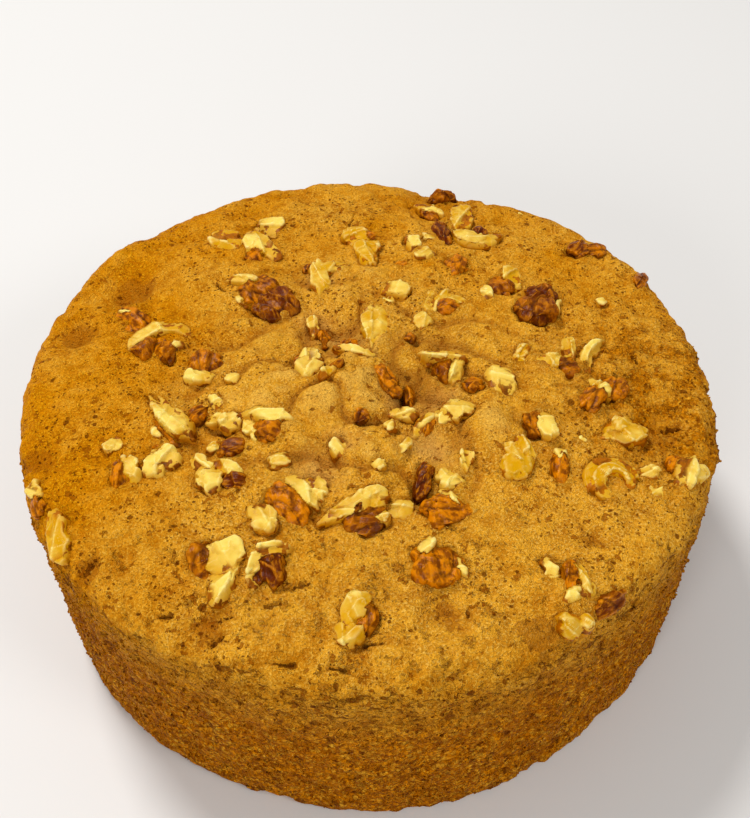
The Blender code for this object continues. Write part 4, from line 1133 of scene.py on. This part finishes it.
def crust_material():
    """Top, side and torn rim of the crust, which the marks on the mesh tell apart."""
    graph = Graph("baked_crust")
    place = graph.place()
    axes = graph.add("ShaderNodeSeparateXYZ", {0: place}).outputs
    height = axes["Z"]
    side, rough, pit, contact_shade = (graph.mark(name) for name in ("side", "rough", "pit", "contact_shade"))
    batter, brown, valley_and_shade, shading_height = (graph.mark(name) for name in ("batter", "brown", "valley_and_shade", "shading_height"))

    # The place, bent a little so that nothing drawn on it is straight
    warp = graph.noise(place, WARP_SIZE, output="Color")
    warp = graph.vector("ADD", warp, (-0.5, -0.5, -0.5))[0]
    bent = graph.vector("MULTIPLY_ADD", warp, (WARP_REACH, WARP_REACH, WARP_REACH), place)[0]

    broad = graph.noise(place, 24 * MM, 3.0)
    middle = graph.noise(place, 5 * MM, 3.0)
    fine = graph.noise(place, 1.1 * MM, 3.0, 0.6)
    grain = graph.noise(place, 0.55 * MM)
    middle_off, fine_off = graph.centred(middle), graph.centred(fine)
    dense = graph.fade(graph.noise(place, 16 * MM), 0.35, 0.65, 0.35, 1.0)
    winding = graph.math("ABSOLUTE", graph.centred(graph.noise(bent, 1.6 * MM)))
    crack = graph.fade(winding, 0.0, 0.045, 1.0, 0.0)

    # The baked skin of the top is paler in the middle and deeper at the left
    level = graph.vector("MULTIPLY_ADD", place, (1.0, 1.0, 0.0), (-0.008, 0.035, 0.0))[0]
    from_middle = graph.vector("LENGTH", level)["Value"]
    pale = graph.math("ADD", graph.fade(from_middle, 0.045, 0.100, 0.20, 0.06),
                      graph.fade(axes["X"], -0.08, -0.02, -0.14, 0.0))
    tan = graph.fade(graph.times(broad, 0.6, graph.times(middle, 0.35, pale)), 0.34, 0.70)
    # Painted highlight colour, between gold and tan
    lit = graph.mix(tan, TOP_HIGHLIGHT_GOLD, TOP_HIGHLIGHT_TAN)
    top = graph.over(graph.mix(tan, TOP_GOLD, TOP_TAN), [
        (middle, 0.34, 0.54, 0.40, 0.0, TOP_DEEP),
        (fine, 0.34, 0.56, 0.34, 0.0, TOP_DEEP),
    ])
    top = graph.mix(graph.times(crack, graph.times(dense, 0.40)), top, FLECK_AND_CREVICE_SHADE)
    # Painted highlights on the fine grains
    top = graph.over(top, [(grain, 0.50, 0.68, 0.0, 0.60, lit)])
    top = graph.mix(graph.times(batter, 0.7), top, BATTER)
    worn = graph.times(middle_off, 1.6, graph.times(fine_off, 1.5, brown))
    top = graph.over(top, [
        # Painted shade in low places and painted highlight on high places
        (shading_height, -1.6, 0.1, 0.45, 0.0, TOP_DEEP),
        (shading_height, 0.4, 1.6, 0.0, 0.35, lit),
        # Painted shade along the valleys and tears, darkest at their bottoms
        (valley_and_shade, 0.2, 0.9, 0.0, 0.40, BATTER_SHADE),
        (valley_and_shade, 0.80, 1.0, 0.0, 0.45, FLECK_AND_CREVICE_SHADE),
        (worn, 0.44, 0.54, 0.0, 0.55, WORN),
    ])

    # Crumbs of the side
    near, tint = graph.cells(bent, 1.25 * MM)
    crumb = graph.noise(bent, 1.5 * MM, 4.0, 0.7)
    speck = graph.noise(bent, 0.8 * MM, 3.0, 0.6)
    edge = graph.over(SIDE_DARK, [
        (crumb, 0.36, 0.58, 0.0, 1.0, SIDE_GOLD),
        (tint, 0.55, 1.0, 0.0, 0.5, SIDE_LIGHT),
        (speck, 0.55, 0.66, 0.0, 0.8, SIDE_LIGHT),
    ])
    edge = graph.mix(graph.times(crack, 0.45), edge, SIDE_DARK)
    edge = graph.over(edge, [
        # Painted shade between the crumbs
        (near, 0.40, 0.64, 0.0, 0.5, SIDE_DARK),
        (middle, 0.36, 0.54, 0.35, 0.0, SIDE_DARK),
        (broad, 0.40, 0.65, 0.0, 0.3, SIDE_DEEP),
    ])
    jagged = graph.times(fine_off, 0.5, graph.times(middle_off, 0.8, side))
    crumbly = graph.fade(jagged, 0.1, 1.0)
    deeper = graph.times(crumbly, graph.fade(height, 0.036, 0.062, 1.0, 0.30))
    base = graph.mix(deeper, top, edge)

    # The torn rim at the right
    torn_rim = graph.times(rough, graph.fade(middle, 0.42, 0.58, 0.85, 0.2))
    rim = graph.over(ROUGH_BROWN, [
        (crumb, 0.38, 0.56, 0.0, 1.0, ROUGH_GOLD),
        (speck, 0.55, 0.66, 0.0, 0.7, SIDE_LIGHT),
    ])
    base = graph.mix(torn_rim, base, rim)
    crumbly = graph.most(crumbly, torn_rim)

    # Holes between crumbs, and level slits below the shoulder
    cavity = graph.times(graph.fade(graph.noise(bent, 4.0 * MM, 3.0, 0.6), 0.63, 0.67), crumbly)
    squashed = graph.vector("MULTIPLY", bent, (0.8, 0.8, 3.5))[0]
    slit = graph.fade(graph.noise(squashed, 4.5 * MM, 3.0), 0.61, 0.64)
    slit = graph.times(slit, graph.fade(height, 0.046, 0.053))
    cavity = graph.most(cavity, graph.times(slit, graph.fade(side, 0.05, 0.3)))

    # Pinholes, small torn flecks and scars
    holes = graph.most(*(pores(graph, bent, *pinhole) for pinhole in PINHOLES))
    holes = graph.times(holes, graph.fade(dense, 0.3, 0.7, 0.3, 1.0))
    holes = graph.times(holes, graph.fade(from_middle, 0.020, 0.055, 0.50, 1.0))
    fleck = graph.fade(graph.times(dense, 0.08, graph.noise(bent, 2.4 * MM, 3.0, 0.6)), 0.68, 0.71)
    torn = graph.fade(graph.times(fine_off, 2.2, pit), 0.50, 0.66)
    to_front = graph.fade(axes["Y"], -0.03, -0.08)
    scar = graph.fade(graph.times(to_front, 0.07, graph.noise(bent, 4.4 * MM, 5.0, 0.78)), 0.65, 0.68)
    # Painted shade in pinholes, torn pits, hollows and slits, and beside the walnut pieces
    dark = graph.most(graph.times(holes, 0.80), graph.times(torn, 0.72),
                      graph.times(contact_shade, 0.6), graph.times(cavity, 0.65))
    base = graph.mix(graph.times(fleck, 0.75), base, FLECK_AND_CREVICE_SHADE)
    base = graph.mix(graph.times(scar, graph.fade(fine, 0.38, 0.56, 0.9, 0.5)), base, WORN)
    base = graph.mix(dark, base, PAINTED_SHADE)

    rise = graph.raised(graph.times(fine_off, 0.78), [
        (graph.centred(grain), 0.60),
        (crack, graph.times(crumbly, -0.20, -0.12)),
        (graph.times(crumb, crumbly), 1.1),
        (middle_off, 1.4),
        (graph.times(near, crumbly), -0.95),
        (holes, -0.4),
        (fleck, -0.35),
        (scar, -0.9),
        (cavity, -0.7),
        (torn, -0.5),
    ])
    return graph.finish(base, DULL, rise, Specular_IOR_Level=CRUST_SHINE)


def nut_material():
    """Cream broken flesh, brown skin, and skin left on the flesh where it didn't peel."""
    graph = Graph("walnut")
    place = graph.place()
    skin, tone, furrow, low = (graph.mark(name) for name in ("skin", "tone", "furrow", "low"))
    grain = graph.mark("grain", "Vector")
    edges = graph.add("ShaderNodeNewGeometry", {}).outputs["Pointiness"]

    cloudy = graph.noise(place, 4 * MM, 3.0)
    fine = graph.noise(place, 1.0 * MM, 3.0, 0.6)
    yellow = graph.fade(graph.times(tone, 0.5, cloudy), 0.50, 0.95)
    flesh = graph.over(graph.mix(yellow, FLESH_CREAM, FLESH_YELLOW), [
        (edges, 0.50, 0.57, 0.0, 0.55, FLESH_WHITE),
        # Painted shade in the hollows of the flesh
        (edges, 0.49, 0.42, 0.0, 0.45, FLESH_DEEP),
        (fine, 0.58, 0.75, 0.0, 0.3, FLESH_WHITE),
        # Yellower, then amber, towards the bottom of a limb: partly a thin amber film, partly painted
        # shade
        (low, 0.05, 0.25, 0.0, 0.7, FLESH_YELLOW),
        (low, 0.22, 0.55, 0.0, 0.85, FLESH_DEEP),
    ])

    patchy = graph.noise(grain, 2.2 * MM)
    long_grain = graph.vector("MULTIPLY", grain, (0.28, 1.0, 0.7))[0]
    streak = graph.noise(long_grain, 1.2 * MM, 3.0, 0.6)
    amber = graph.fade(graph.times(tone, 0.8, cloudy), 0.55, 1.15)
    brown = graph.over(graph.mix(amber, SKIN_DARK, SKIN_AMBER), [
        (patchy, 0.44, 0.62, 0.0, 0.75, SKIN_DARK),
        (streak, 0.50, 0.68, 0.0, 0.45, SKIN_LIGHT),
        (streak, 0.46, 0.34, 0.0, 0.50, SKIN_VEIN_AND_SHADE),
        # Painted shade in the folds
        (furrow, 0.45, 1.0, 0.0, 0.6, SKIN_VEIN_AND_SHADE),
        (edges, 0.51, 0.57, 0.0, 0.55, SKIN_LIGHT),
        # Painted shade towards the bottom of the skin
        (low, 0.25, 0.60, 0.0, 0.6, SKIN_VEIN_AND_SHADE),
    ])

    peel = graph.fade(graph.noise(grain, 3.4 * MM, 3.0), 0.51, 0.545)
    peel = graph.times(peel, graph.fade(low, 0.12, 0.22, 0.0, 0.95))
    flesh = graph.mix(peel, flesh, graph.over(brown, [(streak, 0.40, 0.60, 0.2, 0.8, PEEL)]))
    base = graph.over(flesh, [(skin, 0.3, 0.7, 0.0, 1.0, brown)])
    rise = graph.raised(graph.times(graph.centred(fine), 0.14), [(graph.times(streak, skin), 0.40)])
    roughness = graph.fade(skin, 0.0, 1.0, FLESH_DULL, SKIN_DULL)
    return graph.finish(base, roughness, rise, Specular_IOR_Level=NUT_SHINE, **NUT_GLOW)


# Camera and light

PICTURE_HEIGHT = 818
FOCAL_PIXELS = 1000.0
SENSOR = 36.0
CAMERA_DISTANCE = 0.3391
CAMERA_ELEVATION = 52.34
CAMERA_YAW, CAMERA_PITCH, CAMERA_ROLL = 0.568, -5.961, 1.498

# Lamps: name, place, what it faces, size, power and tint
LAMPS = [
    ("overhead", (-0.60, 0.80, 1.60), (0, 0, 0.05), 0.45, 22.0, (1.0, 0.985, 0.96)),
    ("window", (1.0, -0.7, 1.0), (0, 0, 0.05), 0.50, 5.0, (1.0, 0.99, 0.97)),
    ("front", (-0.9, -1.45, 0.8), (0, 0, 0.03), 0.70, 12.0, (1.0, 0.99, 0.97)),
]
ROOM_TINT, ROOM_LIGHT = (1.0, 0.98, 0.95, 1.0), 0.40
FLOOR_REACH, FLOOR_BELOW = 3.0, 0.2 * MM


def make_camera():
    lens = bpy.data.cameras.new("camera")
    lens.sensor_width = SENSOR
    lens.lens = SENSOR * FOCAL_PIXELS / PICTURE_HEIGHT
    lens.clip_start = 0.01
    lens.dof.use_dof = False
    camera = put_in_scene("camera", lens)
    elevation = math.radians(CAMERA_ELEVATION)
    back = Vector((0.0, -math.cos(elevation), math.sin(elevation)))
    right = Vector((1.0, 0.0, 0.0))
    looking = Matrix((right, back.cross(right), back))
    yaw = Matrix.Rotation(math.radians(CAMERA_YAW), 3, "Y")
    pitch = Matrix.Rotation(math.radians(CAMERA_PITCH), 3, "X")
    roll = Matrix.Rotation(math.radians(CAMERA_ROLL), 3, "Z")
    aim = (roll @ pitch @ yaw @ looking).transposed()
    camera.matrix_world = Matrix.Translation(back * CAMERA_DISTANCE) @ aim.to_4x4()
    bpy.context.scene.camera = camera


def make_light(name, place, target, size, power, tint):
    lamp = bpy.data.lights.new(name, "AREA")
    lamp.shape = "DISK"
    lamp.size = size
    lamp.energy = power
    lamp.color = tint
    light = put_in_scene(name, lamp)
    aim = (Vector(place) - Vector(target)).to_track_quat("Z", "Y")
    light.matrix_world = Matrix.Translation(place) @ aim.to_matrix().to_4x4()


def make_floor():
    corners = [(-1, -1, 0), (1, -1, 0), (1, 1, 0), (-1, 1, 0)]
    floor = put_in_scene("floor", to_mesh("floor", FLOOR_REACH * np.array(corners), [(0, 1, 2, 3)]))
    floor.location.z = -FLOOR_BELOW
    floor.data.materials.append(Graph("pale_floor").finish(FLOOR_PALE, DULL))


def make_world():
    world = bpy.data.worlds.new("soft_room")
    world.use_nodes = True
    sky = world.node_tree.nodes["Background"]
    sky.inputs["Color"].default_value = ROOM_TINT
    sky.inputs["Strength"].default_value = ROOM_LIGHT
    bpy.context.scene.world = world


def make_nuts():
    """Every walnut piece and bit by name."""
    nuts = {}
    for number, limbs in WALNUTS.items():
        name = f"walnut_{number:02d}"
        nuts[name] = make_nut(f"{name}_nut", limbs, *TONES.get(number, USUAL_TONE))
    for number, bit in enumerate(SMALL_BITS + CRUMBS_OF_NUT):
        tone = YELLOW_TONE if number in YELLOW_BITS else USUAL_TONE
        nuts[f"bit_{number}"] = make_nut(f"bit_{number}_nut", [bit], *tone)
    return nuts


def tree_round(pieces):
    """Finds the nearest place on any of the pieces."""
    points, faces = [], []
    for piece in pieces:
        first = len(points)
        points.extend(vertex.co[:] for vertex in piece.data.vertices)
        faces.extend(tuple(first + corner for corner in face.vertices) for face in piece.data.polygons)
    return BVHTree.FromPolygons(points, faces)


def build():
    make_camera()
    make_world()
    make_floor()
    for lamp in LAMPS:
        make_light(*lamp)
    bpy.context.scene.view_settings.view_transform = "Standard"

    walnut = nut_material()
    nuts = make_nuts()
    crust, grains = make_crust(tree_round(nuts.values()))
    baked = crust_material()
    for piece in (crust, grains):
        piece.data.materials.append(baked)
    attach(crust, "root")
    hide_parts("cake")
    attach(grains, "root")

    bits = joined("walnut_bits", [nut for name, nut in nuts.items() if name.startswith("bit_")])
    bits.data.materials.append(walnut)
    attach(bits, "root")
    for name, nut in nuts.items():
        if name.startswith("walnut_"):
            nut.data.materials.append(walnut)
            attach(nut, "root")
            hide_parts(name)


build()
